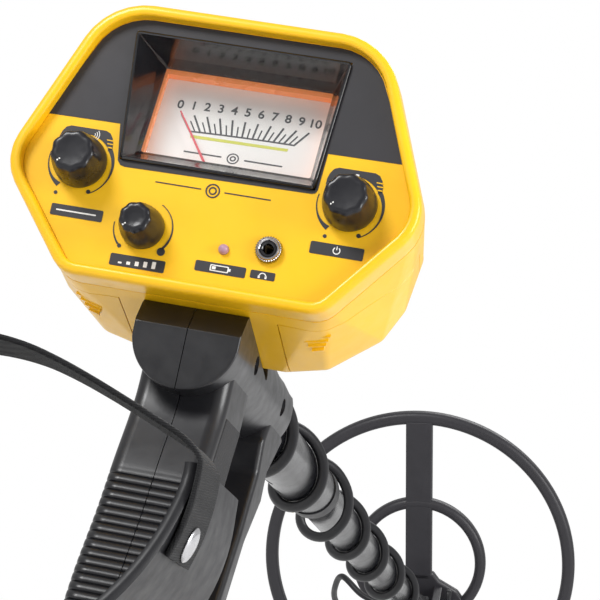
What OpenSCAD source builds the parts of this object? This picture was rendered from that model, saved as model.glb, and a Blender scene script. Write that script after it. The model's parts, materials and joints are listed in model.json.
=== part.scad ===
// Hand-held metal detector: control box with an analogue meter, pistol handle,
// arm rest, telescopic stem and a tilting open search coil.
// Modelled along the stem axis, then pitched so that the foot and the coil rim
// stand on one floor. Millimetres, +Y towards the coil, +Z up.

/* [Stance] */
// slope of the stem, coil end down
pitch = 5.6; // [3:0.1:9]
// height of the stem axis above the floor at the panel
axis_height = 151.6; // [140:0.1:170]
// shift that puts the foot's centre at the origin
foot_shift = 7.3; // [0:0.1:15]

/* [Control box] */
// distance from the panel to the back wall
box_depth = 65; // [55:1:80]
// thickness of the moulded walls
wall = 2.2; // [1.6:0.1:3]
// height of the rim in front of the panel
rim = 4.5; // [2:0.5:7]
// thickness of the front panel
panel_t = 2.5; // [1.5:0.5:4]
// height of the two large knobs on the panel
knob_z = 53.6; // [50:0.1:58]
// distance of the two large knobs from the centre line
knob_x = 46.7; // [42:0.1:50]
// foot radius of the large knobs
knob_r = 9.2; // [8:0.1:11]
// height of a knob above the panel
knob_h = 14.2; // [11:0.1:18]
// radius of the plug hole in the earphone jack
jack_r = 1.8; // [1.75:0.05:1.9]

/* [Meter] */
// backward tilt of the meter's face
meter_tilt = 74.3; // [70:0.1:90]
// width of the meter window
lens_w = 61.8; // [50:0.1:66]
// height of the meter window
lens_h = 37.3; // [30:0.1:42]
// length of the needle from its pivot
needle_l = 39.5; // [34:0.5:42]

/* [Stem] */
// outer radius of the upper tube
upper_r = 12; // [11:0.5:14]
// outer radius of the lower tube
lower_r = 10; // [9:0.5:11]
// front end of the upper tube
upper_end = 325; // [310:1:340]
// front end of the lower tube
lower_end = 848; // [800:1:860]
// position of the lock button along the stem
button_y = 310; // [300:1:315]
// spacing of the lock holes
hole_step = 25; // [20:1:30]
// radius of the cable
cable_r = 2.4; // [2:0.1:3]
// length of one turn of the cable round the stem
cable_pitch = 94; // [60:1:120]

/* [Search coil] */
// outer radius of the coil
coil_r = 107.5; // [90:0.5:125]
// width of the outer ring's section
ring_w = 8; // [6:0.5:12]
// thickness of the coil shells together
ring_t = 9.5; // [8:0.5:12]
// outer radius of the inner ring
inner_r = 46.5; // [40:0.5:52]
// lean of the coil from square to the stem
coil_lean = 25.8; // [0:0.1:60]
// distance of the coil centre along the stem
coil_y = 870; // [840:1:900]
// height of the coil centre above the stem axis
coil_z = 36; // [20:1:50]
// distance of the tilt bolt along the stem
hinge_y = 863; // [850:1:880]
// twist of the coil joint about the stem
coil_twist = -8.2; // [-12:0.1:12]

/* [Hidden] */
$fn = 48;
R = 0.05;
gap = 0.35;
neck_w = 18.4;
tube_start = 68;
grip_w = 16;
box_back = box_depth;
coil_in = coil_r - ring_w;
cuff_r = 58;
cuff_z = -70;
cuff_y0 = -215;
cuff_y1 = -125;
strap_y0 = -203;
strap_y1 = -178;
button_a = 240;
holes = [0 : 6];
ink = [0.10, 0.10, 0.11];
yellow = [0.98, 0.76, 0.05];
grey = [0.35, 0.35, 0.37];
steel = [0.75, 0.76, 0.78];

// ---- placing helpers ----
module placed() {
  translate([0, foot_shift, axis_height]) rotate([-pitch, 0, 0]) children();
}
module xz(y1, y2) {
  translate([0, y2, 0]) rotate([90, 0, 0]) linear_extrude(y2 - y1) children();
}
module yz(x1, x2) {
  translate([x1, 0, 0]) rotate([90, 0, 90]) linear_extrude(x2 - x1) children();
}
module cyl_y(x, z, y1, y2, r1, r2 = -1) {
  translate([x, y1, z]) rotate([-90, 0, 0])
    cylinder(h = y2 - y1, r1 = r1, r2 = r2 < 0 ? r1 : r2);
}
module cyl_x(y, z, x1, x2, r) {
  translate([x1, y, z]) rotate([0, 90, 0]) cylinder(h = x2 - x1, r = r);
}
module box(a, b) { translate(a) cube(b - a); }
module in_meter() {
  translate([0, 12.95, 80.35]) rotate([meter_tilt, 0, 0]) children();
}
module twisted() {
  rotate([0, coil_twist, 0]) children();
}
module in_coil() {
  twisted() translate([0, coil_y, coil_z]) rotate([90 + coil_lean, 0, 0]) children();
}
// point of the coil's own frame in the stem's frame
function twist_pt(p) = [p[0] * cos(coil_twist) + p[2] * sin(coil_twist), p[1],
  p[2] * cos(coil_twist) - p[0] * sin(coil_twist)];
function coil_pt(p) = twist_pt([p[0],
  coil_y + p[1] * cos(90 + coil_lean) - p[2] * sin(90 + coil_lean),
  coil_z + p[1] * sin(90 + coil_lean) + p[2] * cos(90 + coil_lean)]);

// ---- control box ----
// six-sided outline of the panel with rounded corners, grown by g
function arc(c, r, a, b, n) = [for (i = [0 : n]) c + r * [cos(a + (b - a) * i / n),
  sin(a + (b - a) * i / n)]];
panel_right = concat([[40, 24.5]], arc([52.82, 53.34], 8, -38.7, 22, 3),
  arc([32.56, 87.5], 14, 22, 90, 4));
panel_left = [for (i = [len(panel_right) - 1 : -1 : 0]) [-panel_right[i][0], panel_right[i][1]]];
module outline(g) {
  offset(r = 6 + g, $fn = 40) polygon(concat(panel_right, panel_left));
}
module waist(r) {
  offset(r = r, $fn = 24)
    polygon([[41, 98], [60.5, 53], [58, 36], [53, 26], [38, 14], [25, 11],
      [-25, 11], [-38, 14], [-53, 26], [-58, 36], [-60.5, 53], [-41, 98]]);
}
module shell_body(t) {
  hull() {
    xz(8.9 - (t > 0 ? 5 : 0), 9) outline(4 - t);
    xz(54 - t / 2, 55 - t / 2) waist(6 - t);
    xz(box_back - 1 - t, box_back - t) waist(max(0.2, 1.5 - t));
  }
}
module shell_wall() {
  difference() {
    shell_body(0);
    shell_body(wall);
  }
}
// prism swept by a battery door on its side of the box
module door_zone(side, g) {
  x = 28 - g;
  intersection() {
    translate([side > 0 ? x : -x - 60, 15 - g, -10]) cube([60, 80, 58.5 + g]);
    cyl_door(side, g);
  }
}
module cyl_door(side, g) {
  translate([side * 28, 66, -12]) scale([1.15, 1, 1]) cylinder(h = 64, r = 50 + g, $fn = 64);
}
door_boss = [[38, 96], [22, 23]];

module front_bezel() {
  color(yellow) difference() {
    xz(-rim, 9) outline(4);
    xz(-rim - 1, panel_t) outline(0);
    xz(0, 10) outline(-3);
  }
}
module rear_shell() {
  color(yellow) difference() {
    union() {
      difference() {
        shell_wall();
        for (s = [-1, 1]) door_zone(s, gap);
      }
      for (s = [-1, 1], b = door_boss) intersection() {
        cyl_y(s * b[0], b[1], b[1] > 50 ? 21 : 9, 64, 4);
        shell_body(0.5);
      }
      for (s = [-1, 1]) box([s * 26.6 - 0.8, 16, 19], [s * 26.6 + 0.8, 61, 30]);
      cyl_y(0, 75, 57, 63, 27);
    }
    cyl_y(0, 75, 50, 61, 25.2);
    for (s = [-1, 1], b = door_boss) {
      cyl_y(s * b[0], b[1], 8, 70, 1.6);
      cyl_y(s * b[0], b[1], 61, 70, 3.4);
    }
    for (i = [-3 : 3]) box([i * 6 - 1.2, 55, 75 - 20 + abs(i) * 3],
      [i * 6 + 1.2, 70, 75 + 20 - abs(i) * 3]);
    cyl_y(-8, 24, 55, 70, 4.5);
  }
}
module front_panel() {
  color(yellow) difference() {
    xz(0, panel_t) outline(-0.1);
    xz(-1, 4) meter_hole(0.1);
    for (s = [-1, 1]) cyl_y(s * knob_x, knob_z, -1, 4, 4.6);
    cyl_y(-20.6, 34.6, -1, 4, 3.6);
    cyl_y(23, 34.1, -1, 4, 2.95);
    cyl_y(7.9, 31.9, -1, 4, 1.85);
  }
}
module meter_hole(g) {
  polygon([[-37.7 - g, 102.6 + g], [37.7 + g, 102.6 + g],
    [34 + g, 56.8 - g], [-34 - g, 56.8 - g]]);
}
module meter_hood() {
  color(ink) difference() {
    hull() {
      xz(-1, 0.5) meter_hole(0);
      in_meter() translate([-33.4, -21.1, -1]) cube([66.8, 42.2, 2]);
    }
    hull() {
      xz(-1.5, 0.2) meter_hole(-1.5);
      in_meter() translate([-lens_w / 2 + 0.3, -lens_h / 2 + 0.3, -1.1])
        cube([lens_w - 0.6, lens_h - 0.6, 2]);
    }
  }
}
module meter_case() {
  color(grey) in_meter() difference() {
    union() {
      translate([-33.4, -21.1, -22]) cube([66.8, 42.2, 20.9]);
      translate([-17, -35, -15]) cube([34, 16, 13.5]);
    }
    translate([-lens_w / 2, -lens_h / 2, -20.5]) cube([lens_w, lens_h, 30]);
    translate([-15.5, -34.4, -13.5]) cube([31, 18.9, 10.5]);
  }
}
module meter_lens() {
  color([0.85, 0.9, 0.95, 0.4]) in_meter()
    translate([-lens_w / 2 + 0.05, -lens_h / 2 + 0.05, -2.8])
      cube([lens_w - 0.1, lens_h - 0.1, 1.8]);
}
module meter_dial() {
  color([0.96, 0.96, 0.94]) in_meter() {
    translate([-30.6, -18.3, -8]) cube([61.2, 36.6, 1]);
    for (s = [-1, 1]) translate([s * 28.5 - 2, -10, -20.4]) cube([4, 20, 12.5]);
  }
}
module meter_needle() {
  color([0.8, 0.1, 0.1]) in_meter() translate([1, -29, 0]) rotate([0, 0, 35]) {
    translate([0, 0, -12]) cylinder(h = 8, r = 0.8);
    translate([0, 0, -5.4]) cylinder(h = 1.6, r = 2.2);
    translate([0, 0, -5])
      linear_extrude(0.6) polygon([[-0.7, -4.8], [0.7, -4.8], [0.25, needle_l], [-0.25, needle_l]]);
  }
}
module meter_movement() {
  color(steel) in_meter() translate([1, -27, 0]) difference() {
    translate([-9, -5.8, -13.4]) cube([18, 12, 7]);
    translate([0, -2, -12.5]) cylinder(h = 9, r = 0.85);
  }
}
module knob(x, z, r1, r2, rs, h) {
  color(ink) difference() {
    union() {
      cyl_y(x, z, -h + 6, -0.5, r2 + 0.6, r1);
      cyl_y(x, z, -h, -h + 6, r2);
    }
    for (i = [0 : 9]) cyl_y(x + (r2 + 1.2) * cos(i * 36), z + (r2 + 1.2) * sin(i * 36),
      -h - 1, -h + 4.6, 2);
    // pointer mark
    translate([x, -h - 1, z]) rotate([0, 45, 0]) box([-r2 + 0.8, 0, -0.4], [-2, 1.4, 0.4]);
    cyl_y(x, z, -h + 3, 1, rs);
    cyl_y(x, z, -4, 1, r1 * 0.78);
  }
}
module disc_knob() { knob(-knob_x, knob_z, knob_r, 7.4, 3, knob_h); }
module sens_knob() { knob(knob_x, knob_z, knob_r, 7.4, 3, knob_h); }
module volume_knob() { knob(-20.6, 34.6, 7.5, 5.5, 2.5, knob_h + 0.3); }
module shaft(x, z, r, h) {
  color(steel) {
    cyl_y(x, z, -h + 3, 10, r);
    cyl_y(x, z, 8.2, 10, r + 1.5);
  }
}
module disc_shaft() { shaft(-knob_x, knob_z, 3, knob_h); }
module sens_shaft() { shaft(knob_x, knob_z, 3, knob_h); }
module volume_shaft() { shaft(-20.6, 34.6, 2.5, knob_h + 0.3); }
module pot(x, z, rb, rn, rs) {
  color(grey) difference() {
    union() {
      cyl_y(x, z, panel_t, 12, rb);
      cyl_y(x, z, -3.2, panel_t, rn);
      for (i = [-1 : 1]) box([x + i * 4 - 0.9, 5, z - rb - 2.2], [x + i * 4 + 0.9, 5.8, z - rb + 2]);
    }
    cyl_y(x, z, -4, 8, rs + R);
    cyl_y(x, z, 7.9, 10.3, rs + 1.9);
  }
}
module disc_pot() { pot(-knob_x, knob_z, 7.6, 4.5, 3); }
module sens_pot() { pot(knob_x, knob_z, 7.6, 4.5, 3); }
module volume_pot() { pot(-20.6, 34.6, 7, 3.5, 2.5); }
module ring_nut(x, z, y1, y2, ro, ri) {
  difference() {
    translate([x, y1, z]) rotate([-90, 0, 0]) cylinder(h = y2 - y1, r = ro, $fn = 6);
    cyl_y(x, z, y1 - 1, y2 + 1, ri);
  }
}
module pot_nuts() {
  color(steel) {
    for (s = [-1, 1]) ring_nut(s * knob_x, knob_z, -2.2, 0, 6, 4.5);
    ring_nut(-20.6, 34.6, -2.2, 0, 4.9, 3.5);
  }
}
module earphone_jack() {
  color(ink) difference() {
    union() {
      cyl_y(23, 34.1, -3.5, panel_t, 2.85);
      box([19.5, panel_t, 30.2], [26.5, 17.5, 38]);
    }
    cyl_y(23, 34.1, -4, 16, jack_r);
  }
}
module jack_nut() {
  color(steel) difference() {
    cyl_y(23, 34.1, -2.6, 0, 4.75);
    cyl_y(23, 34.1, -3, 1, 2.85);
    for (i = [0 : 23]) translate([23, 0, 34.1]) rotate([0, i * 15, 0])
      box([-0.25, -4, 4.4], [0.25, 1, 6]);
  }
}
module low_battery_led() {
  color([0.75, 0.5, 0.6]) {
    translate([7.9, -0.6, 31.9]) sphere(r = 1.75);
    cyl_y(7.9, 31.9, -0.6, panel_t, 1.75);
    cyl_y(7.9, 31.9, panel_t, 4, 2.3);
    for (s = [-1, 1]) cyl_y(7.9 + s * 1.2, 31.9, 4, 9, 0.3);
  }
}
module circuit_board() {
  color([0.1, 0.4, 0.2]) {
    difference() {
      xz(42, 43.6) intersection() {
        outline(-9);
        translate([-60, 50.5]) square([120, 60]);
      }
      for (s = [-1, 1]) cyl_y(s * 38, 96, 40, 45, 4.6);
    }
    for (p = [[-40, 60], [-14, 56], [16, 56], [38, 62]])
      box([p[0] - 6, 43.6, p[1] - 3.5], [p[0] + 6, 46.8, p[1] + 3.5]);
    for (p = [[-34, 76], [-38, 84], [36, 78], [0, 96]]) cyl_y(p[0], p[1], 43.6, 50, 2.5);
  }
}
module speaker() {
  color(grey) difference() {
    union() {
      cyl_y(0, 75, 57.5, 61, 25);
      cyl_y(0, 75, 50.5, 57.5, 10, 23);
      cyl_y(0, 75, 46.6, 50.5, 9);
    }
    cyl_y(0, 75, 52.5, 61.5, 9, 22.5);
  }
}
module battery(s) {
  color([0.2, 0.25, 0.3]) {
    box([s * 38.25 - 8.75, 14, 20.5], [s * 38.25 + 8.75, 60, 47]);
    cyl_y(s * 38.25, 27.4, 11.8, 14, 2.9);
    cyl_y(s * 38.25, 40.1, 11.8, 14, 3.6);
  }
}
module battery_left() { battery(-1); }
module battery_right() { battery(1); }
module clip(s) {
  color(ink) difference() {
    box([s * 38.25 - 6.5, 9.6, 21.5], [s * 38.25 + 6.5, 13.6, 45.5]);
    cyl_y(s * 38.25, 27.4, 10.8, 14, 2.9);
    cyl_y(s * 38.25, 40.1, 10.8, 14, 3.6);
  }
}
module battery_clip_left() { clip(-1); }
module battery_clip_right() { clip(1); }
module battery_door(s) {
  color(yellow) {
    intersection() {
      shell_wall();
      door_zone(s, 0);
    }
    intersection() {
      for (i = [0 : 3]) translate([s * 40, 24 + i * 3.2, 0])
        box([-5 + i, -0.5, -2], [5 - i, 0.5, 30]);
      difference() {
        shell_body(-0.6);
        shell_body(0.6);
      }
    }
  }
}
module battery_door_left() { battery_door(-1); }
module battery_door_right() { battery_door(1); }
module case_screws() {
  color(steel) for (s = [-1, 1], b = door_boss) {
    cyl_y(s * b[0], b[1], 10, 61, 1.55);
    difference() {
      cyl_y(s * b[0], b[1], 61, 63, 3);
      box([s * b[0] - 2.4, 62.3, b[1] - 0.4], [s * b[0] + 2.4, 64, b[1] + 0.4]);
      box([s * b[0] - 0.4, 62.3, b[1] - 2.4], [s * b[0] + 0.4, 64, b[1] + 2.4]);
    }
  }
}
module cable_gland() {
  color(ink) difference() {
    union() {
      cyl_y(-8, 24, 58, box_back + 0.5, 4.4);
      cyl_y(-8, 24, box_back, box_back + 14, 5.5, 3.6);
    }
    cyl_y(-8, 24, 50, 90, cable_r);
  }
}

// ---- handle ----
module d_section(g) {
  intersection() {
    translate([0, 2.5]) circle(r = 18.5 + g);
    translate([-neck_w - g, -16 - g]) square([2 * (neck_w + g), 40]);
  }
  translate([-neck_w - g, 2.5]) square([2 * (neck_w + g), 2 + g]);
}
module grip_side(g) {
  offset(delta = g) polygon([[18, 1], [18, -14], [17.5, -18], [13.8, -27], [6.3, -42], [2.8, -51],
    [-1.9, -62], [-12.6, -81], [-15.8, -90], [-31, -126], [-31, -140], [24, -140], [24, -128],
    [29.5, -92], [46, -52], [58, -18], [58, -5]]);
}
module strut_side(g) {
  offset(delta = g) polygon([[112, -5], [138, -7], [118, -24], [118, -35], [101.6, -53],
    [91, -75], [76, -104], [66, -126], [66, -140], [44, -140], [44, -126], [60, -104],
    [78, -75], [91, -50], [100, -26], [98, -14], [104, -5]]);
}
module base_side() {
  polygon([[-60, -128], [-31, -123], [70, -123], [75, -131], [75, -170], [-60, -170]]);
}
handle_fix = [[43, 3, 1], [109, 1, 1], [24, -62, 0], [8, -100, 0], [54, -133, 0], [-40, -134, 0]];

module handle_solid() {
  difference() {
    union() {
      xz(7, 132) d_section(0);
      box([-neck_w, 7, 2.5], [neck_w, 66, 16]);
      yz(-grip_w, grip_w) {
        grip_side(0);
        strut_side(0);
      }
      yz(-22, 22) base_side();
    }
    // the box and its rim stand on the neck
    difference() {
      xz(-20, 66) translate([-40, 2]) square([80, 30]);
      neck_under();
    }
    // chamfer behind and slope in front of the box
    yz(-30, 30) polygon([[0, 4.5], [6.7, 4.5], [14, 15], [14, 30], [0, 30]]);
    yz(-30, 30) polygon([[66, 12.6], [92, 12.6], [130, 8.8], [140, 8.8], [140, 30], [66, 30]]);
    // seat of the upper tube
    cyl_y(0, 0, tube_start, 140, upper_r);
    // hollow for the speaker lead and to save weight
    yz(-10, 10) {
      intersection() {
        grip_side(-3.2);
        translate([-60, -121]) square([200, 103]);
      }
    }
  }
}
module neck_under() {
  yz(-30, 30) polygon([[-20, -40], [70, -40], [70, 4.6], [55, 4.6], [9, 14.2], [-20, 14.2]]);
}
module insert_zone(g) {
  intersection() {
    grip_side(0);
    offset(delta = g) polygon([[23, -20], [13.3, -42], [-5.6, -81], [-20, -119], [14, -119],
      [24, -81], [41, -42], [50, -20]]);
  }
}
module handle_half(s) {
  color(ink) difference() {
    placed() difference() {
      intersection() {
        union() {
          handle_solid();
          for (f = handle_fix) if (f[2] == 0) cyl_x(f[0], f[1], -grip_w + 1, grip_w - 1, 4);
        }
        box([s > 0 ? 0 : -40, -80, -200], [s > 0 ? 40 : 0, 160, 40]);
      }
      for (f = handle_fix) {
        cyl_x(f[0], f[1], -8.5, 30, 1.6);
        cyl_x(f[0], f[1], f[2] == 1 ? 15.5 : 12.9, 30, 3.4);
      }
      yz(s > 0 ? 12.5 : -grip_w - 1, s > 0 ? grip_w + 1 : -12.5) insert_zone(0);
      // ribs across the back strap
      for (i = [0 : 11]) translate([0, 4.6 - i * 1.53, -46 - i * 2.92]) rotate([26, 0, 0])
        box([-20, -2.6, -0.7], [20, 0.9, 0.7]);
    }
    translate([-100, -300, -100]) cube([200, 600, 108]);
  }
}
module handle_left() { handle_half(-1); }
module handle_right() { handle_half(1); }
module grip_insert(s) {
  color([0.16, 0.16, 0.17]) placed() difference() {
    yz(s > 0 ? 12.5 : -grip_w - 0.3, s > 0 ? grip_w + 0.3 : -12.5) insert_zone(-0.08);
    for (f = handle_fix) if (f[2] == 0) cyl_x(f[0], f[1], 12, 30, 3.4);
  }
}
module grip_insert_left() { grip_insert(-1); }
module grip_insert_right() { grip_insert(1); }
module handle_screws() {
  color(steel) placed() for (f = handle_fix) {
    h = f[2] == 1 ? 15.5 : 12.9;
    cyl_x(f[0], f[1], f[0] > 100 ? upper_r - 3.5 : -8, h, 1.55);
    difference() {
      cyl_x(f[0], f[1], h, h + 1.8, 3.1);
      box([h + 1, f[0] - 2.2, f[1] - 0.4], [h + 3, f[0] + 2.2, f[1] + 0.4]);
      box([h + 1, f[0] - 0.4, f[1] - 2.2], [h + 3, f[0] + 0.4, f[1] + 2.2]);
    }
  }
}
module rubber_foot() {
  color([0.08, 0.08, 0.08]) difference() {
    linear_extrude(8) offset(r = 8) square([40, 119], center = true);
    for (i = [-3 : 3]) box([-40, i * 16 - 1, 5.5], [-22.6, i * 16 + 1, 9]);
    for (i = [-3 : 3]) box([22.6, i * 16 - 1, 5.5], [40, i * 16 + 1, 9]);
  }
}
module arm_support() {
  color(ink) placed() difference() {
    union() {
      yz(-15, 15) polygon([[-60, -129], [-100, -131.6], [-215, -131.6], [-215, -141],
        [-100, -143], [-60, -146]]);
      for (y = [-190, -150]) translate([0, y, -141]) cylinder(h = 9.45, r = 12);
    }
    for (y = [-190, -150]) translate([0, y, -150]) cylinder(h = 30, r = 2.6);
    for (y = [-190, -150]) translate([0, y, -142]) cylinder(h = 4.6, r = 4.7, $fn = 6);
    for (s = [-1, 1]) yz(s > 0 ? 4 : -12, s > 0 ? 12 : -4)
      polygon([[-75, -147], [-75, -137], [-135, -136], [-135, -147]]);
  }
}
module cuff_profile() {
  polygon([[-209, -150], [cuff_y0, -120], [-213, -85], [-200, -66], [-140, -66],
    [-127, -85], [cuff_y1, -120], [-131, -150]]);
}
module arm_cuff() {
  color(ink) placed() difference() {
    intersection() {
      difference() {
        cyl_y(0, cuff_z, cuff_y0 - 5, cuff_y1 + 5, cuff_r);
        cyl_y(0, cuff_z, cuff_y0 - 9, cuff_y1 + 9, cuff_r - 3.5);
        box([-80, -300, cuff_z + 4], [80, 0, 80]);
      }
      yz(-80, 80) cuff_profile();
    }
    for (y = [-190, -150]) translate([0, y, -150]) cylinder(h = 30, r = 2.6);
    strap_holes(2);
  }
  color(ink) placed() difference() {
    box([-13, -212, -131.5], [13, -128, -126]);
    cyl_y(0, cuff_z, -300, 0, cuff_r - 1);
    for (y = [-190, -150]) translate([0, y, -150]) cylinder(h = 30, r = 2.6);
  }
}
module cuff_bolts() {
  color(steel) placed() for (y = [-190, -150]) {
    translate([0, y, -141]) cylinder(h = 18, r = 2.5);
    translate([0, y, -124.1]) cylinder(h = 1.8, r1 = 5.5, r2 = 4);
  }
}
module cuff_nuts() {
  color(steel) placed() for (y = [-190, -150]) difference() {
    translate([0, y, -141.8]) cylinder(h = 4, r = 4.6, $fn = 6);
    translate([0, y, -143]) cylinder(h = 6, r = 2.5);
  }
}
// inner face of the strap, from one wing over the arm to the other
strap_side = concat([for (a = [-19 : 5 : 1]) [58.25 * cos(a), cuff_z + 58.25 * sin(a)]],
  [[57.6, -65.3], [53, -61.6], [45, -58.2], [37, -55], [28, -51.6], [19, -48.6], [10, -46.4]]);
strap_in = concat(strap_side, [[0, -45.6]],
  [for (i = [len(strap_side) - 1 : -1 : 0]) [-strap_side[i][0], strap_side[i][1]]]);
function out_step(p, i, d) = let (
  t = p[min(i + 1, len(p) - 1)] - p[max(i - 1, 0)]) p[i] + d / norm(t) * [t[1], -t[0]];
module strap_holes(r) {
  for (a = [-14, 194]) translate([0, 0, cuff_z]) radial(a, -190.5, 50, 70, r);
}
module cuff_strap() {
  color([0.07, 0.07, 0.07]) placed() difference() {
    xz(strap_y0, strap_y1) polygon(concat(strap_in,
      [for (i = [len(strap_in) - 1 : -1 : 0]) out_step(strap_in, i, 1.6)]));
    strap_holes(2);
  }
}
module strap_rivets() {
  color(steel) placed() for (a = [-14, 194]) translate([0, 0, cuff_z]) {
    radial(a, -190.5, 53.5, 60, 1.95);
    radial(a, -190.5, 59.9, 61, 4.5);
    radial(a, -190.5, 53.3, 54.4, 3.6);
  }
}

// ---- stem ----
module radial(a, y, r1, r2, r) {
  rotate([0, -a, 0]) cyl_x(y, 0, r1, r2, r);
}
module stem_upper_tube() {
  color(ink) placed() difference() {
    cyl_y(0, 0, tube_start, upper_end, upper_r);
    cyl_y(0, 0, tube_start - 1, upper_end + 1, lower_r + R);
    for (i = holes) radial(button_a, button_y - i * hole_step, 5, 20, 3.85);
    cyl_x(109, 1, 0, 20, 1.6);
  }
}
module stem_lower_tube() {
  color(ink) placed() difference() {
    cyl_y(0, 0, 270, lower_end, lower_r);
    cyl_y(0, 0, 260, lower_end + 1, lower_r - 1.8);
    radial(button_a, button_y, 5, 20, 3.55);
  }
}
module stem_collar() {
  color(ink) placed() difference() {
    cyl_y(0, 0, upper_end - 10, upper_end + 3, upper_r + 0.6);
    cyl_y(0, 0, upper_end - 12, upper_end, upper_r);
    cyl_y(0, 0, upper_end - 1, upper_end + 9, lower_r + 0.1);
    radial(button_a, button_y, 5, 20, 5.6);
  }
}
module snap_button() {
  color([0.93, 0.9, 0.8]) placed() {
    radial(button_a, button_y, 6.6, 13.4, 3.5);
    radial(button_a, button_y, 13.4, 14.2, 2.8);
    radial(button_a, button_y, 5.9, 6.6, 4.4);
  }
}
module snap_spring() {
  color(steel) placed() rotate([0, -button_a, 0]) {
    yz_leaf(0);
  }
}
module yz_leaf(a) {
  translate([0, 0, -3]) linear_extrude(6) polygon([
    [5.9, button_y + 6], [5.9, button_y - 6], [4, button_y - 14], [-3, button_y - 24],
    [-5, button_y - 26], [-6.6, button_y - 24], [-7.6, button_y - 18], [-7.6, button_y + 6],
    [-7.1, button_y + 6], [-7.1, button_y - 18], [-6.1, button_y - 23.6],
    [-5, button_y - 25.2], [-3.4, button_y - 23.6], [3.6, button_y - 13.6],
    [5.4, button_y - 5.8], [5.4, button_y + 6]]);
}
module stem_end() {
  color(ink) placed() twisted() difference() {
    union() {
      cyl_y(0, 0, 815, lower_end, lower_r - 1.8);
      cyl_y(0, 0, lower_end, lower_end + 3, lower_r + 1.5);
      yz(-9.4, 9.4) {
        translate([hinge_y, 0]) circle(r = 10);
        translate([lower_end, -9]) square([hinge_y - lower_end, 18]);
      }
    }
    cyl_x(hinge_y, 0, -30, 30, 4.05);
    cyl_y(0, 0, 810, 835, 5);
  }
}
module tie_inside() {
  hull() {
    circle(r = lower_r + R);
    for (y = [736 : 4 : 748]) translate([coil_turn(y)[0], coil_turn(y)[2]]) circle(r = 2.8, $fn = 20);
  }
}
module cable_tie() {
  color(ink) placed() difference() {
    xz(738, 746) offset(r = 1) tie_inside();
    xz(730, 750) tie_inside();
  }
}

// ---- search coil ----
hub = [[-9, -6], [-14, -14], [-27, -21], [-34, -32], [-27, -40], [0, -45], [27, -40],
  [34, -32], [27, -21], [14, -14], [9, -6]];
hinge_v = -(hinge_y - coil_y) * sin(coil_lean) - coil_z * cos(coil_lean);
hinge_h = -(hinge_y - coil_y) * cos(coil_lean) + coil_z * sin(coil_lean);

module coil_flat() {
  difference() {
    circle(r = coil_r, $fn = 96);
    circle(r = coil_in, $fn = 96);
  }
  difference() {
    circle(r = inner_r, $fn = 72);
    circle(r = inner_r - 7.5, $fn = 72);
  }
  for (s = [-1, 1]) translate([-9, s > 0 ? 42 : -coil_in - 2]) square([18, coil_in + 2 - 42]);
  translate([-9, -10]) square([18, 52]);
  difference() {
    circle(r = inner_r - 3);
    translate([-60, -16]) square([120, 100]);
    translate([9, -16]) square([30, 10]);
    polygon([[14, -10], [14, -16], [27, -21], [35, -14], [60, -10]]);
    polygon([[-14, -10], [-14, -16], [-27, -21], [-35, -14], [-60, -10]]);
  }
  translate([-14, -20]) square([28, 12]);
}
module groove(r, w, h) {
  rotate_extrude($fn = 96) translate([r - w / 2, -h]) square([w, 2 * h]);
}
module coil_upper_shell() {
  color(grey) placed() in_coil() difference() {
    union() {
      linear_extrude(ring_t / 2) coil_flat();
      for (s = [-1, 1]) translate([0, hinge_v, 0]) yz(s > 0 ? 11 : -17, s > 0 ? 17 : -11) {
        translate([0, hinge_h]) circle(r = 9.5);
        polygon([[-9.5, hinge_h], [-13, ring_t / 2 - 0.5], [13, ring_t / 2 - 0.5], [9.5, hinge_h]]);
      }
    }
    groove(coil_r - ring_w / 2, 4.2, 3);
    groove(inner_r - 3.75, 3.6, 3);
    translate([0, hinge_v, hinge_h]) rotate([0, 90, 0]) cylinder(h = 60, r = 4, center = true);
  }
}
module coil_lower_shell() {
  color(grey) placed() in_coil() difference() {
    translate([0, 0, -ring_t / 2]) linear_extrude(ring_t / 2) coil_flat();
    groove(coil_r - ring_w / 2, 4.2, 3);
    groove(inner_r - 3.75, 3.6, 3);
  }
}
module transmit_winding() {
  color([0.72, 0.43, 0.2]) placed() in_coil() groove(coil_r - ring_w / 2, 4, 2.9);
}
module receive_winding() {
  color([0.72, 0.43, 0.2]) placed() in_coil() groove(inner_r - 3.75, 3.4, 2.9);
}
module coil_gland() {
  color(ink) placed() in_coil() translate([0, -30, 9]) {
    union() {
      rotate([0, -90, 0]) translate([0, 0, 19]) cylinder(h = 12, r1 = 4.2, r2 = 3);
      translate([-27, -4, -4.2]) cube([8, 8, 4.2]);
    }
  }
}
module hinge_bolt() {
  color(ink) placed() twisted() {
    difference() {
      cyl_x(hinge_y, 0, -21.5, -17, 8);
      box([-23, hinge_y - 5, -0.7], [-20.3, hinge_y + 5, 0.7]);
    }
    cyl_x(hinge_y, 0, -17, 27, 4);
  }
}
module wing_nut() {
  color(ink) placed() twisted() difference() {
    union() {
      cyl_x(hinge_y, 0, 17.2, 26, 7);
      yz(20, 25) {
        for (v = [-12, 12]) translate([hinge_y, v]) circle(r = 4.3);
        translate([hinge_y - 3.5, -12]) square([7, 24]);
      }
    }
    cyl_x(hinge_y, 0, 10, 40, 4.03);
  }
}

// ---- cable ----
function unit(v) = v / norm(v);
function phase(y) = -39 - (y - 267) * 360 / cable_pitch;
// the cable closes in on the thinner tube past the reach of the collar
function wrap_r(y) = 15.1 - 2.3 * max(0, min(1, (y - 395) / 40));
function coil_turn(y) = wrap_r(y) * [cos(phase(y)), 0, sin(phase(y))] + [0, y, 0];
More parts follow.
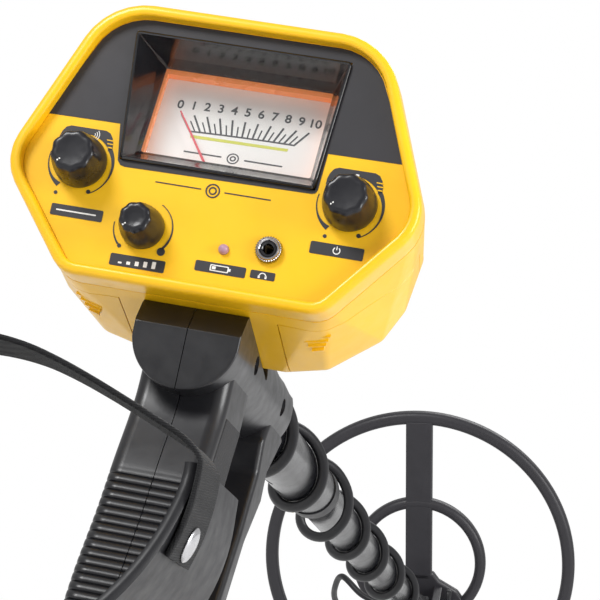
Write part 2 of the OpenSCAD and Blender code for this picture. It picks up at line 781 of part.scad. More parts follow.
// Catmull-Rom point of a control list at parameter u
function cr(p, u) = let (i = min(floor(u), len(p) - 4), t = u - i, a = p[i], b = p[i + 1],
  c = p[i + 2], d = p[i + 3])
  0.5 * (2 * b + (c - a) * t + (2 * a - 5 * b + 4 * c - d) * t * t
    + (3 * b - a - 3 * c + d) * t * t * t);
function spline(p, n) = [for (k = [0 : (len(p) - 3) * n]) cr(p, k / n)];
function tube_rings(c, r, sides) = [for (i = [0 : len(c) - 1]) let (
    t = unit(c[min(i + 1, len(c) - 1)] - c[max(i - 1, 0)]),
    e = unit(cross(t, abs(t[2]) > 0.9 ? [1, 0, 0] : [0, 0, 1])), f = cross(t, e))
  for (k = [0 : sides - 1]) c[i] + r * (cos(k * 360 / sides) * e + sin(k * 360 / sides) * f)];
module tube(c, r, sides = 8) {
  n = len(c);
  polyhedron(points = tube_rings(c, r, sides), convexity = 12, faces = concat(
    [[for (k = [0 : sides - 1]) k]],
    [for (i = [0 : n - 2], k = [0 : sides - 1], h = [0, 1])
      h == 0 ? [i * sides + k, (i + 1) * sides + k, i * sides + (k + 1) % sides]
        : [i * sides + (k + 1) % sides, (i + 1) * sides + k, (i + 1) * sides + (k + 1) % sides]],
    [[for (k = [sides - 1 : -1 : 0]) (n - 1) * sides + k]]));
}
lead_in = [[-8, 60, 24], [-8, 72, 24], [-8, 88, 23.5], [-9.5, 108, 20.5], [-10.5, 124, 16]];
module coil_cable() {
  wound = [for (y = [140 : 4 : 752]) coil_turn(y)];
  color(ink) placed()
    tube(concat([[-8, 67, 24]], spline(concat(lead_in, [wound[0], wound[1]]), 3), wound),
      cable_r, 8);
}
lead_pts = [coil_turn(740), coil_turn(754), coil_turn(762), [-26, 766, -4], [-42, 774, 6],
  [-49, 798, 0], [-51, 828, -6], [-46.8, 855, -8.6], [-40.3, 870, -4.9],
  coil_pt([-32.6, -30, 9]), coil_pt([-22, -30, 9])];
module coil_lead() {
  color(ink) placed() tube(spline(lead_pts, 5), 2, 8);
}

placed() front_bezel();
placed() rear_shell();
placed() front_panel();
placed() meter_hood();
placed() meter_case();
placed() meter_lens();
placed() meter_dial();
placed() meter_needle();
placed() meter_movement();
placed() disc_knob();
placed() volume_knob();
placed() sens_knob();
placed() disc_shaft();
placed() volume_shaft();
placed() sens_shaft();
placed() disc_pot();
placed() volume_pot();
placed() sens_pot();
placed() pot_nuts();
placed() earphone_jack();
placed() jack_nut();
placed() low_battery_led();
placed() circuit_board();
placed() speaker();
placed() battery_left();
placed() battery_right();
placed() battery_clip_left();
placed() battery_clip_right();
placed() battery_door_left();
placed() battery_door_right();
placed() case_screws();
placed() cable_gland();
handle_left();
handle_right();
grip_insert_left();
grip_insert_right();
handle_screws();
rubber_foot();
arm_support();
arm_cuff();
cuff_bolts();
cuff_nuts();
cuff_strap();
strap_rivets();
stem_upper_tube();
stem_lower_tube();
stem_collar();
snap_button();
snap_spring();
stem_end();
cable_tie();
coil_upper_shell();
coil_lower_shell();
transmit_winding();
receive_winding();
coil_gland();
hinge_bolt();
wing_nut();
coil_cable();
coil_lead();
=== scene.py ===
"""Metal detector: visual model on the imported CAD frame."""

import json
from math import atan2, copysign, cos, degrees, pi, radians, sin, sqrt

import bmesh
import bpy
from mathutils import Matrix, Vector


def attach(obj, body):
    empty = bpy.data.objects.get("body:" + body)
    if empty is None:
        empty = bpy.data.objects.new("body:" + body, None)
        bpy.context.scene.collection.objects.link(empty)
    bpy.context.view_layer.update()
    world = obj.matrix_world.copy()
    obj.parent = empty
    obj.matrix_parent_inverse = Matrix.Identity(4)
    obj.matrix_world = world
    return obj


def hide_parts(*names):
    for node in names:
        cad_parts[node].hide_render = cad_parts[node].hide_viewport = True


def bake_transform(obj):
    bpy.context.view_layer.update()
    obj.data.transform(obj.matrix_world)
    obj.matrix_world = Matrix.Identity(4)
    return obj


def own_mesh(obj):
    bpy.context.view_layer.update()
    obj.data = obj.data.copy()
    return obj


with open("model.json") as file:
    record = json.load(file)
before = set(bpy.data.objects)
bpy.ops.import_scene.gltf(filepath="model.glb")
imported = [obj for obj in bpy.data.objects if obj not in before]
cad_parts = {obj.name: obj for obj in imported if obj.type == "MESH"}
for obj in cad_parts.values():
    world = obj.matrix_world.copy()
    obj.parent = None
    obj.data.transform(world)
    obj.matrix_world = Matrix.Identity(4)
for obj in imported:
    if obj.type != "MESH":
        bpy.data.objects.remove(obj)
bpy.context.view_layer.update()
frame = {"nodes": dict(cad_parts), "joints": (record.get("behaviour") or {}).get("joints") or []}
NODES = frame["nodes"]
MM = 0.001
SIDES = ((-1, "left"), (1, "right"))


def joint(name):
    return next(j for j in frame["joints"] if j["name"] == name)


def rot_x(deg):
    return Matrix.Rotation(radians(deg), 4, "X")


# ---- the stem's own frame: X right, Y along the stem, Z up from it, in millimetres ----
HINGE_Y = 863
STEM = Vector(joint("stem_slide")["axis"]).normalized()
UPN = Vector((1, 0, 0)).cross(STEM)
ORIGIN = Vector(joint("coil_tilt")["pos_m"]) - STEM * HINGE_Y * MM
PLACE = Matrix.Translation(ORIGIN) @ Matrix(
    ((1, STEM.x, UPN.x, 0), (0, STEM.y, UPN.y, 0), (0, STEM.z, UPN.z, 0), (0, 0, 0, 1))
) @ Matrix.Scale(MM, 4)
WORLD_MM = Matrix.Scale(MM, 4)

# the meter's face and the coil have frames of their own, with Z out of the face
METER_TILT = 74.3
METER_LOCAL = Matrix.Translation((0, 12.95, 80.35)) @ rot_x(METER_TILT)
METER = PLACE @ METER_LOCAL
TILT_AXIS = PLACE.to_3x3().inverted() @ Vector(joint("coil_tilt")["axis"])
TWISTED = Matrix.Rotation(-atan2(TILT_AXIS.z, TILT_AXIS.x), 4, "Y")
TWIST = PLACE @ TWISTED
COIL_LEAN = 25.8
COIL_Y, COIL_Z = 870, 36
COIL_LOCAL = TWISTED @ Matrix.Translation((0, COIL_Y, COIL_Z)) @ rot_x(90 + COIL_LEAN)
COIL = PLACE @ COIL_LOCAL

# ---- camera, fitted to the picture in the stem's frame ----
CAMERA_AT = Vector((171.9, -726.7, -135.6))
CAMERA_RIGHT = Vector((0.970, 0.138, 0.200)).normalized()
CAMERA_AHEAD = Vector((-0.180, 0.962, 0.205))


def link(o):
    bpy.context.scene.collection.objects.link(o)
    return o


def camera():
    data = bpy.data.cameras.new("camera")
    data.lens = 138
    data.sensor_width = 36
    data.clip_end = 20
    cam = link(bpy.data.objects.new("camera", data))
    ahead = (CAMERA_AHEAD - CAMERA_RIGHT * CAMERA_AHEAD.dot(CAMERA_RIGHT)).normalized()
    up = CAMERA_RIGHT.cross(ahead)
    turn = PLACE.to_3x3() * (1 / MM)
    axes = Matrix((turn @ CAMERA_RIGHT, turn @ up, -(turn @ ahead))).transposed().to_4x4()
    cam.matrix_world = Matrix.Translation(PLACE @ CAMERA_AT) @ axes
    bpy.context.scene.camera = cam


camera()


# ---- materials ----
def new_material(name):
    """Material, its node tree, its shader and the object's own coordinates."""
    m = bpy.data.materials.new(name)
    m.use_nodes = True
    t = m.node_tree
    return m, t, t.nodes["Principled BSDF"], t.nodes.new("ShaderNodeTexCoord").outputs["Object"]


def put(node, values):
    for key, value in values.items():
        node.inputs[key].default_value = value


def noise(t, c, scale, detail=3.0, rough=0.6):
    n = t.nodes.new("ShaderNodeTexNoise")
    put(n, {"Scale": scale, "Detail": detail, "Roughness": rough})
    t.links.new(c, n.inputs["Vector"])
    return n.outputs["Fac"]


def tint(c, k):
    return (c[0] * k, c[1] * k, c[2] * k, 1)


def colours(t, bsdf, fac, colour, dark, light):
    """Base colour that drifts between two shades of one colour."""
    r = t.nodes.new("ShaderNodeValToRGB")
    r.color_ramp.elements[0].position = 0.35
    r.color_ramp.elements[1].position = 0.65
    r.color_ramp.elements[0].color = tint(colour, dark)
    r.color_ramp.elements[1].color = tint(colour, light)
    t.links.new(fac, r.inputs["Fac"])
    t.links.new(r.outputs["Color"], bsdf.inputs["Base Color"])


def roughness(t, bsdf, fac, lo, hi):
    m = t.nodes.new("ShaderNodeMapRange")
    put(m, {"From Min": 0.3, "From Max": 0.7, "To Min": lo, "To Max": hi})
    t.links.new(fac, m.inputs["Value"])
    t.links.new(m.outputs["Result"], bsdf.inputs["Roughness"])


def bump(t, bsdf, height, strength, distance):
    b = t.nodes.new("ShaderNodeBump")
    put(b, {"Strength": strength, "Distance": distance})
    t.links.new(height, b.inputs["Height"])
    t.links.new(b.outputs["Normal"], bsdf.inputs["Normal"])


def plastic(name, colour, rough=(0.4, 0.5), grain=2600, depth=0.00002, vary=0.1, spec=0.5,
            coat=0.0, metallic=0.0, strength=0.25):
    """Moulded plastic or paint: slow colour change, fine grain, uneven gloss."""
    m, t, b, c = new_material(name)
    colours(t, b, noise(t, c, 38, 4.0), colour, 1 - vary, 1 + vary)
    roughness(t, b, noise(t, c, 160), *rough)
    put(b, {"Specular IOR Level": spec, "Metallic": metallic, "Coat Weight": coat,
            "Coat Roughness": 0.12})
    bump(t, b, noise(t, c, grain, 2.0, 0.5), strength, depth)
    return m


def leather(name, colour):
    m, t, b, c = new_material(name)
    v = t.nodes.new("ShaderNodeTexVoronoi")
    v.feature = "DISTANCE_TO_EDGE"
    put(v, {"Scale": 620})
    t.links.new(c, v.inputs["Vector"])
    colours(t, b, noise(t, c, 50, 4.0), colour, 0.8, 1.25)
    roughness(t, b, v.outputs["Distance"], 0.62, 0.42)
    put(b, {"Specular IOR Level": 0.4})
    bump(t, b, v.outputs["Distance"], 0.6, 0.0004)
    return m


def webbing(name, colour):
    """Woven strap: two crossing waves multiplied, and a third added."""
    m, t, b, c = new_material(name)
    weave = None
    for axis, scale, operation in (("X", 520, None), ("Y", 420, "MULTIPLY"), ("Z", 520, "ADD")):
        w = t.nodes.new("ShaderNodeTexWave")
        w.bands_direction = axis
        put(w, {"Scale": scale, "Distortion": 0.6})
        t.links.new(c, w.inputs["Vector"])
        if not operation:
            weave = w.outputs["Fac"]
            continue
        both = t.nodes.new("ShaderNodeMath")
        both.operation = operation
        t.links.new(weave, both.inputs[0])
        t.links.new(w.outputs["Fac"], both.inputs[1])
        weave = both.outputs[0]
    slow = noise(t, c, 300)
    colours(t, b, slow, colour, 0.7, 1.4)
    roughness(t, b, slow, 0.75, 0.9)
    put(b, {"Sheen Weight": 0.08, "Specular IOR Level": 0.25, "Sheen Roughness": 0.5})
    bump(t, b, weave, 0.5, 0.0003)
    return m


def metal(name, colour, rough=(0.18, 0.3), aniso=0.3):
    m, t, b, c = new_material(name)
    colours(t, b, noise(t, c, 120), colour, 0.92, 1.05)
    roughness(t, b, noise(t, c, 900), *rough)
    put(b, {"Metallic": 1.0, "Anisotropic": aniso})
    bump(t, b, noise(t, c, 3200, 2.0, 0.5), 0.15, 0.00002)
    return m


def clear(name, alpha, colour, rough=0.06, glow=0.0):
    m, t, b, c = new_material(name)
    slow = noise(t, c, 60, 3.0, 0.5)
    colours(t, b, slow, colour, 0.96, 1.0)
    roughness(t, b, slow, rough, rough * 1.6)
    put(b, {"Alpha": alpha, "Specular IOR Level": 0.8, "Emission Color": tint(colour, 1.0),
            "Emission Strength": glow})
    return m


def fading_floor(name):
    """Pale matt floor that runs out into plain white away from the object."""
    m, t, b, c = new_material(name)
    put(b, {"Base Color": (0.80, 0.80, 0.80, 1), "Roughness": 0.8, "Specular IOR Level": 0.2})
    dist = t.nodes.new("ShaderNodeVectorMath")
    dist.operation = "LENGTH"
    t.links.new(c, dist.inputs[0])
    fade = t.nodes.new("ShaderNodeMapRange")
    put(fade, {"From Min": 0.5, "From Max": 1.5})
    t.links.new(dist.outputs["Value"], fade.inputs["Value"])
    glow = t.nodes.new("ShaderNodeEmission")
    mix = t.nodes.new("ShaderNodeMixShader")
    t.links.new(fade.outputs["Result"], mix.inputs[0])
    t.links.new(b.outputs["BSDF"], mix.inputs[1])
    t.links.new(glow.outputs["Emission"], mix.inputs[2])
    t.links.new(mix.outputs["Shader"], t.nodes["Material Output"].inputs["Surface"])
    return m


M = {
    "yellow": plastic("yellow_plastic", (0.90, 0.50, 0.006), (0.28, 0.40), 2400, 0.00003, 0.03,
                      coat=0.15, spec=0.4),
    "panel": plastic("panel_yellow", (0.92, 0.52, 0.006), (0.36, 0.46), 3000, vary=0.02, spec=0.35),
    "charcoal": plastic("panel_charcoal", (0.024, 0.023, 0.027), (0.40, 0.52), depth=0.00003,
                        spec=0.4),
    "print": plastic("panel_print", (0.022, 0.022, 0.026)),
    "mark": plastic("pale_print", (0.78, 0.77, 0.74), vary=0.04),
    "gloss": plastic("gloss_black", (0.008, 0.008, 0.010), (0.10, 0.20), 1800, 0.00001, 0.15,
                     coat=0.3, strength=0.1),
    "knob": plastic("knob_black", (0.008, 0.008, 0.011), (0.26, 0.36), 2600, 0.00001, 0.15,
                    coat=0.1, strength=0.15, spec=0.4),
    "black": plastic("black_plastic", (0.012, 0.012, 0.014), (0.38, 0.50), 2600, 0.00003, 0.15,
                     spec=0.35),
    "grip": plastic("grip_black", (0.009, 0.009, 0.011), (0.28, 0.38), vary=0.15, strength=0.15),
    "tube": plastic("tube_black", (0.008, 0.008, 0.010), (0.16, 0.24), 3200, 0.00001,
                    strength=0.08, spec=0.4),
    "coil": plastic("coil_grey", (0.022, 0.021, 0.025), (0.38, 0.50), 2400, 0.00003, spec=0.4),
    "cable": plastic("cable_black", (0.010, 0.010, 0.012), (0.34, 0.46), 2500, vary=0.12,
                     strength=0.2, spec=0.3),
    "rubber": plastic("rubber_black", (0.014, 0.014, 0.015), (0.62, 0.78), 900, 0.0001, 0.2,
                      strength=0.4, spec=0.3),
    "leather": leather("leather_grain", (0.013, 0.013, 0.015)),
    "webbing": webbing("woven_webbing", (0.008, 0.008, 0.009)),
    "steel": metal("plated_steel", (0.62, 0.62, 0.64)),
    "nickel": metal("nickel", (0.42, 0.41, 0.42), (0.14, 0.22), 0.1),
    "brass": metal("brass", (0.75, 0.55, 0.28), (0.2, 0.35)),
    "copper": metal("enamelled_copper", (0.55, 0.22, 0.07), (0.25, 0.4)),
    "dial": plastic("dial_white", (0.86, 0.85, 0.82), (0.5, 0.6), 1400, 0.00001, 0.015),
    "ink": plastic("dial_ink", (0.02, 0.02, 0.022), (0.5, 0.6), 1400, 0.00001),
    "lime": plastic("dial_lime", (0.62, 0.64, 0.05), (0.5, 0.6), 1400, 0.00001, 0.05),
    "red": plastic("needle_red", (0.62, 0.008, 0.03), (0.35, 0.45), 2000, 0.00001, 0.05),
    "lens": clear("lens_clear", 0.05, (0.8, 0.82, 0.84)),
    # orange strip round the lens, with a painted glow for light carried through the lens's edge
    "edge": clear("lens_edge_glow", 0.8, (1.0, 0.36, 0.10), 0.2, glow=0.2),
    "led": plastic("led_pink", (0.42, 0.24, 0.32), (0.22, 0.32), 2000, 0.00001, 0.06, coat=0.2),
    "cream": plastic("cream_button", (0.72, 0.62, 0.44), (0.3, 0.4), 2000, vary=0.05),
    "board": plastic("board_green", (0.02, 0.12, 0.05), (0.3, 0.45), 1500, 0.00004, 0.2),
    "cell": plastic("cell_sleeve", (0.03, 0.05, 0.12), (0.25, 0.35), 1500, vary=0.15,
                    metallic=0.3),
    "floor": fading_floor("floor_pale"),
}


# ---- mesh helpers ----
def new_object(bm, name):
    """Linked object made from a bmesh, which is used up."""
    bmesh.ops.recalc_face_normals(bm, faces=bm.faces)
    data = bpy.data.meshes.new(name)
    bm.to_mesh(data)
    bm.free()
    return link(bpy.data.objects.new(name, data))


def final_mesh(o):
    bpy.context.view_layer.update()
    deps = bpy.context.evaluated_depsgraph_get()
    return bpy.data.meshes.new_from_object(o.evaluated_get(deps))


def apply_modifiers(o):
    data = final_mesh(o)
    o.modifiers.clear()
    o.data = data


def taken(o):
    """The mesh of an object as a bmesh, with the object removed."""
    bm = bmesh.new()
    bm.from_mesh(o.data)
    bpy.data.objects.remove(o)
    return bm


def finish_mesh(bm, name, mat, body, place=PLACE, angle=32, replaces=(), ride=True):
    """Visible piece: smooth with sharp edges past the angle, in one material."""
    o = new_object(bm, name)
    o.data.transform(place)
    for p in o.data.polygons:
        p.use_smooth = True
    o.data.set_sharp_from_angle(angle=radians(angle))
    o.data.materials.append(M[mat])
    if ride:
        w = o.modifiers.new("normals", "WEIGHTED_NORMAL")
        w.keep_sharp = True
        w.weight = 80
        apply_modifiers(o)
        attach(o, body)
    if replaces:
        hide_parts(*replaces)
    return o


def merge(bm, work):
    """Adds a second bmesh to the first and uses it up."""
    data = bpy.data.meshes.new("work")
    work.to_mesh(data)
    work.free()
    bm.from_mesh(data)
    bpy.data.meshes.remove(data)


def boolean(bm, tools, operation="DIFFERENCE"):
    """The bmesh after one boolean with each tool; all of them are used up."""
    o = new_object(bm, "work")
    for tool in tools:
        t = new_object(tool, "tool")
        m = o.modifiers.new("cut", "BOOLEAN")
        m.operation = operation
        m.solver = "EXACT"
        m.object = t
        apply_modifiers(o)
        bpy.data.objects.remove(t)
    return taken(o)


def bevelled(bm, width):
    o = new_object(bm, "work")
    b = o.modifiers.new("bevel", "BEVEL")
    b.width = width
    b.segments = 3
    b.limit_method = "ANGLE"
    b.angle_limit = radians(25)
    apply_modifiers(o)
    return taken(o)


def add_loft(bm, rings, cap=True):
    """Rings of equal length joined in order: capped, or closed from last to first."""
    vs = [[bm.verts.new(p) for p in r] for r in rings]
    n = len(vs[0])
    pairs = list(zip(vs, vs[1:]))
    if not cap:
        pairs.append((vs[-1], vs[0]))
    for a, b in pairs:
        for i in range(n):
            j = (i + 1) % n
            bm.faces.new([a[i], a[j], b[j], b[i]])
    if cap:
        bm.faces.new(vs[0])
        bm.faces.new(vs[-1][::-1])


def add_prism(bm, pts, fn, lo, hi):
    """2D outline pushed from lo to hi; fn(u, v, w) gives the 3D point."""
    a = [bm.verts.new(fn(u, v, lo)) for u, v in pts]
    b = [bm.verts.new(fn(u, v, hi)) for u, v in pts]
    n = len(pts)
    bm.faces.new(a)
    bm.faces.new(b[::-1])
    for i in range(n):
        j = (i + 1) % n
        bm.faces.new([a[i], b[i], b[j], a[j]])


def add_lathe(bm, profile, fn, n=48, wobble=None, cap=True):
    """profile is (radius, height) pairs; fn(u, v, w) places the point."""
    rings = []
    for r, h in profile:
        ring = []
        for i in range(n):
            a = 2 * pi * i / n
            rr = r + (wobble(a, h, r) if wobble else 0)
            ring.append(fn(rr * cos(a), rr * sin(a), h))
        rings.append(ring)
    add_loft(bm, rings, cap=cap)


def fresh(add):
    """The same builder with a bmesh of its own, which it returns."""
    def build(*args, **options):
        bm = bmesh.new()
        add(bm, *args, **options)
        return bm

    return build


loft, prism, lathe = fresh(add_loft), fresh(add_prism), fresh(add_lathe)


def along_x(y, z, x):
    return (x, y, z)


def along_y(x, z, y):
    return (x, y, z)


def along_z(x, y, z):
    return (x, y, z)


def axis_y(x, z):
    """Places a shape on an axis along Y through (x, z)."""
    return lambda u, v, w: (x + u, w, z + v)


def lerp(a, b, t):
    return a + (b - a) * t


def in_table(table, x):
    """Straight-line interpolation in rows of (x, y); level past the last row."""
    for (x0, y0), (x1, y1) in zip(table, table[1:]):
        if x <= x1:
            return lerp(y0, y1, (x - x0) / (x1 - x0))
    return table[-1][1]


def rect(x0, x1, y0, y1):
    return [(x0, y0), (x1, y0), (x1, y1), (x0, y1)]


def arc_points(cx, cy, r, a0, a1, n):
    return [(cx + r * cos(radians(a0 + (a1 - a0) * i / n)),
             cy + r * sin(radians(a0 + (a1 - a0) * i / n))) for i in range(n + 1)]


def circle_pts(r, n, cx=0.0, cy=0.0):
    return arc_points(cx, cy, r, 0, 360, n)[:n]


def rounded(poly, r, n=6):
    """Corners of a convex polygon (anticlockwise) pushed out by r and rounded."""
    out = []
    m = len(poly)
    for i in range(m):
        p0, p1, p2 = (Vector(poly[(i + k) % m]) for k in (-1, 0, 1))
        d1, d2 = (p1 - p0).normalized(), (p2 - p1).normalized()
        a1, a2 = atan2(-d1.x, d1.y), atan2(-d2.x, d2.y)
        while a2 < a1 - 1e-9:
            a2 += 2 * pi
        for k in range(n + 1):
            a = a1 + (a2 - a1) * k / n
            out.append((p1.x + r * cos(a), p1.y + r * sin(a)))
    return out


def mirror(points):
    """Right half, bottom to top, completed to an anticlockwise outline."""
    return points + [(-x, y) for x, y in reversed(points) if abs(x) > 1e-6]


# outlines of the box, as (x, z): at the panel, and where the rear shell is narrowest
PANEL = mirror([(40, 24.5)] + arc_points(52.82, 53.34, 8, -38.7, 22, 4)
               + arc_points(32.56, 87.5, 14, 22, 90, 6))
WAIST = mirror([(25, 11), (38, 14), (53, 26), (58, 36), (60.5, 53), (41, 98)])


# ---- control box ----
def bezel():
    prof = [(0.0, 2.45), (0.0, -3.3), (0.25, -4.0), (0.9, -4.45), (1.7, -4.5), (2.7, -4.35),
            (3.5, -3.8), (3.9, -2.8), (4.0, -1.2), (4.0, 8.3), (3.6, 8.9), (2.0, 8.9),
            (-2.7, 8.9), (-2.7, 2.7)]
    rings = [[(x, y, z) for x, z in rounded(PANEL, 6 + g, 3)] for g, y in prof]
    finish_mesh(loft(rings, cap=False), "bezel", "yellow", "housing", replaces=["front_bezel"],
                angle=50)


def normal_fan(polys, step=6):
    """Directions at which to sample outlines, doubled at every flat side."""
    angles = set()
    for poly in polys:
        for i in range(len(poly)):
            d = Vector(poly[(i + 1) % len(poly)]) - Vector(poly[i])
            a = degrees(atan2(-d.x, d.y)) % 360
            angles |= {round(a - 0.02, 3), round(a + 0.02, 3)}
    angles |= set(float(k) for k in range(0, 360, step))
    return [radians(a) for a in sorted(angles)]


def support(poly, a):
    n = (cos(a), sin(a))
    return max(poly, key=lambda p: p[0] * n[0] + p[1] * n[1])


WAIST_Y = 55        # distance behind the panel at which the shell is narrowest


def shell_ring(y, inset, fan):
    """Section of the rear shell at a distance behind the panel."""
    t = min(1.0, max(0.0, (y - 9) / 46))
    r = 10 * (1 - t) + 6 * t
    if y > WAIST_Y:
        r = 1.5 + 4.5 * sqrt(max(0.0, 1 - ((y - WAIST_Y) / 10) ** 2))
    r = max(0.1, r - inset)
    ring = []
    for a in fan:
        p, q = support(PANEL, a), support(WAIST, a)
        ring.append((p[0] * (1 - t) + q[0] * t + r * cos(a), y,
                     p[1] * (1 - t) + q[1] * t + r * sin(a)))
    return ring


def shell_solid():
    """The rear shell before its openings: inside from end wall to panel, then back outside."""
    fan = normal_fan([PANEL, WAIST])
    rings = [shell_ring(62.8, 5.5, fan)]
    rings += [shell_ring(y, 2.2, fan) for y in (52, 40, 25, 9)]
    rings += [shell_ring(y, 0, fan) for y in (9, 20, 32, 44, WAIST_Y)]
    rings += [shell_ring(WAIST_Y + 10 * sin(radians(k)), 0, fan) for k in range(15, 91, 15)]
    return loft(rings)


DOOR_X, DOOR_Y, DOOR_R, DOOR_STRETCH = 28, 66, 50, 1.15


def door_tool(side, grow):
    """Prism that a battery door takes out of the shell: its front edge is a wide arc."""
    edge = []
    r = DOOR_R + grow
    for k in range(49):
        a = pi + pi * k / 48
        edge.append((side * DOOR_X + DOOR_STRETCH * r * cos(a), DOOR_Y + r * sin(a)))
    lo, hi = (DOOR_X - grow, 90) if side > 0 else (-90, -DOOR_X + grow)
    pts = [p for p in edge if lo <= p[0] <= hi]
    x_in = side * (DOOR_X - grow)
    y_in = DOOR_Y - r * sqrt(max(0, 1 - ((x_in - side * DOOR_X) / (DOOR_STRETCH * r)) ** 2))
    if side > 0:
        pts = [(x_in, y_in)] + pts + [(90, DOOR_Y), (90, 80), (x_in, 80)]
    else:
        pts = [(-90, 80), (-90, DOOR_Y)] + pts + [(x_in, y_in), (x_in, 80)]
    return prism(pts, along_z, -12, 48.5 + grow)


def slots_tool():
    """Speaker slots, screw recesses and the cable's hole in the end wall."""
    bm = bmesh.new()
    for i in range(-3, 4):
        h = 19 - abs(i) * 3
        pts = rounded(rect(i * 6 - 0.2, i * 6 + 0.2, 75 - h, 75 + h), 1.0, 5)
        add_prism(bm, pts, along_y, 58, 70)
    for x, z in ((38, 96), (-38, 96), (22, 23), (-22, 23)):
        add_prism(bm, circle_pts(3.4, 28, x, z), along_y, 61.5, 70)
    add_prism(bm, circle_pts(4.5, 28, -8, 24), along_y, 58, 70)
    return bm


def rear_shell():
    tools = [door_tool(s, 0.35) for s, side in SIDES] + [slots_tool()]
    finish_mesh(boolean(shell_solid(), tools), "shell", "yellow", "housing",
                replaces=["rear_shell"], angle=30)
    for s, side in SIDES:
        bm = boolean(shell_solid(), [door_tool(s, 0)], "INTERSECT")
        for i in range(4):
            y, w = 24 + i * 3.2, 5 - i
            z = 15.5 - (y - 9) * 0.228
            pts = rect(s * 40 - w, s * 40 + w, z - 0.6, z + 1.6)
            pts = [(x, v + (abs(x) - 38) * 0.28 if abs(x) > 38 else v) for x, v in pts]
            add_prism(bm, pts, along_y, y - 0.55, y + 0.55)
        finish_mesh(bm, "door_" + side, "yellow", "door_" + side,
                    replaces=["battery_door_" + side], angle=30)


HOLE = [(-34, 56.8), (34, 56.8), (37.7, 102.6), (-37.7, 102.6)]


def shrink(corners, d):
    cx = sum(p[0] for p in corners) / 4
    cy = sum(p[1] for p in corners) / 4
    return [(p[0] - copysign(d, p[0] - cx), p[1] - copysign(d, p[1] - cy)) for p in corners]


def filled_plate(outer, holes, fn, lo, hi):
    """Flat plate with holes."""
    bm = bmesh.new()
    loops = [outer] + holes
    for w in (lo, hi):
        edges = []
        for loop in loops:
            vs = [bm.verts.new(fn(u, v, w)) for u, v in loop]
            edges += [bm.edges.new((vs[i], vs[(i + 1) % len(vs)])) for i in range(len(vs))]
        bmesh.ops.triangle_fill(bm, use_beauty=True, use_dissolve=False, edges=edges)
    vs = list(bm.verts)
    half = len(vs) // 2
    start = 0
    for loop in loops:
        k = len(loop)
        for i in range(k):
            a, b = start + i, start + (i + 1) % k
            bm.faces.new([vs[a], vs[b], vs[half + b], vs[half + a]])
        start += k
    return bm


DISC, SENS, VOLUME = (-46.7, 53.6), (46.7, 53.6), (-20.6, 34.6)
JACK, LED = (23, 34.1), (7.9, 31.9)
KNOBS = (("disc", DISC, 9.2, 7.4, 14.2), ("volume", VOLUME, 7.5, 5.5, 14.5),
         ("sens", SENS, 9.2, 7.4, 14.2))
PRINT, ICON = 0.16, 0.2     # how far the printed marks and the icons stand off the panel


def panel():
    holes = [circle_pts(r, n, *at) for r, n, at in (
        (4.6, 24, DISC), (4.6, 24, SENS), (3.6, 24, VOLUME), (2.95, 24, JACK), (1.85, 20, LED))]
    bm = filled_plate(rounded(PANEL, 5.9, 3), holes + [HOLE], along_y, 0, 2.4)
    finish_mesh(bm, "panel", "panel", "housing", replaces=["front_panel"])


def decal(bm, pts, lift=PRINT):
    add_prism(bm, pts, along_y, -lift, 0.02)


def bar(x0, x1, z0, z1, r=0.5):
    return rounded(rect(x0 + r, x1 - r, z0 + r, z1 - r), r, 4)


def arc_band(cx, cz, r0, r1, a0, a1, n=40, thin=0.0):
    """Band between two radii; with thin it starts as a line and swells from its inner side."""
    outer, inner = [], []
    for i in range(n + 1):
        t = i / n
        a = radians(a0 + (a1 - a0) * t)
        r = r0 if not thin else r1 - (0.3 + (r1 - r0 - 0.3) * t ** thin)
        outer.append((cx + r1 * cos(a), cz + r1 * sin(a)))
        inner.append((cx + r * cos(a), cz + r * sin(a)))
    return outer + inner[::-1]


def cap_block(cx, cz):
    """Label block over a knob: rounded shoulders, hollow below where the knob stands."""
    pts = arc_points(cx, cz, 10.2, 34, 146, 16)
    top = [(-9.6, 59.6), (-9.5, 61.6), (-8.9, 63.6), (-7.8, 65.2), (-6.2, 65.9), (6.2, 65.9),
           (7.8, 65.2), (8.9, 63.6), (9.5, 61.6), (9.6, 59.6)]
    return pts + [(cx + x, z) for x, z in top]


def panel_field():
    """Dark field behind the meter, with its lower edge dipping round the window."""
    top = [p for p in rounded(PANEL, 5.6, 3) if p[1] > 71]
    top.sort(key=lambda p: atan2(p[1] - 70, p[0]))
    outer = [(-62.3, 68.9), (-36.4, 69.2), (-35.6, 64), (-34.4, 56.4), (-33.2, 54.9), (-31.6, 54.5),
             (33.2, 55.5), (34.4, 56), (34.9, 57.2), (35.8, 70), (62.6, 70.3)] + top
    bm = filled_plate(outer, [shrink(HOLE, -0.02)], along_y, -0.14, 0.01)
    finish_mesh(bm, "panel_field", "charcoal", "housing")


def knob_marks(dark, yellow):
    """Label blocks, swelling arcs and end dots round the large knobs, and three fine lines."""
    for cx, cz in (DISC, SENS):
        decal(dark, arc_band(cx, cz, 9.7, 11.5, 168, 235, thin=2.6))
        decal(dark, arc_band(cx, cz, 9.9, 11.5, -64, 36, thin=1.8))
        decal(dark, circle_pts(0.75, 20, cx + 4.7, cz - 9.7))
        decal(dark, circle_pts(0.65, 20, cx - 6.4, cz - 11.6))
        decal(dark, cap_block(cx, cz))
        for k in range(3):
            z = 62.6 - k * 1.25
            line = [(cx + 7.2 + k * 0.4, z), (cx + 9.5, z - 0.1), (cx + 9.5, z + 0.3),
                    (cx + 7.0 + k * 0.4, z + 0.35)]
            decal(yellow, line, 0.2)


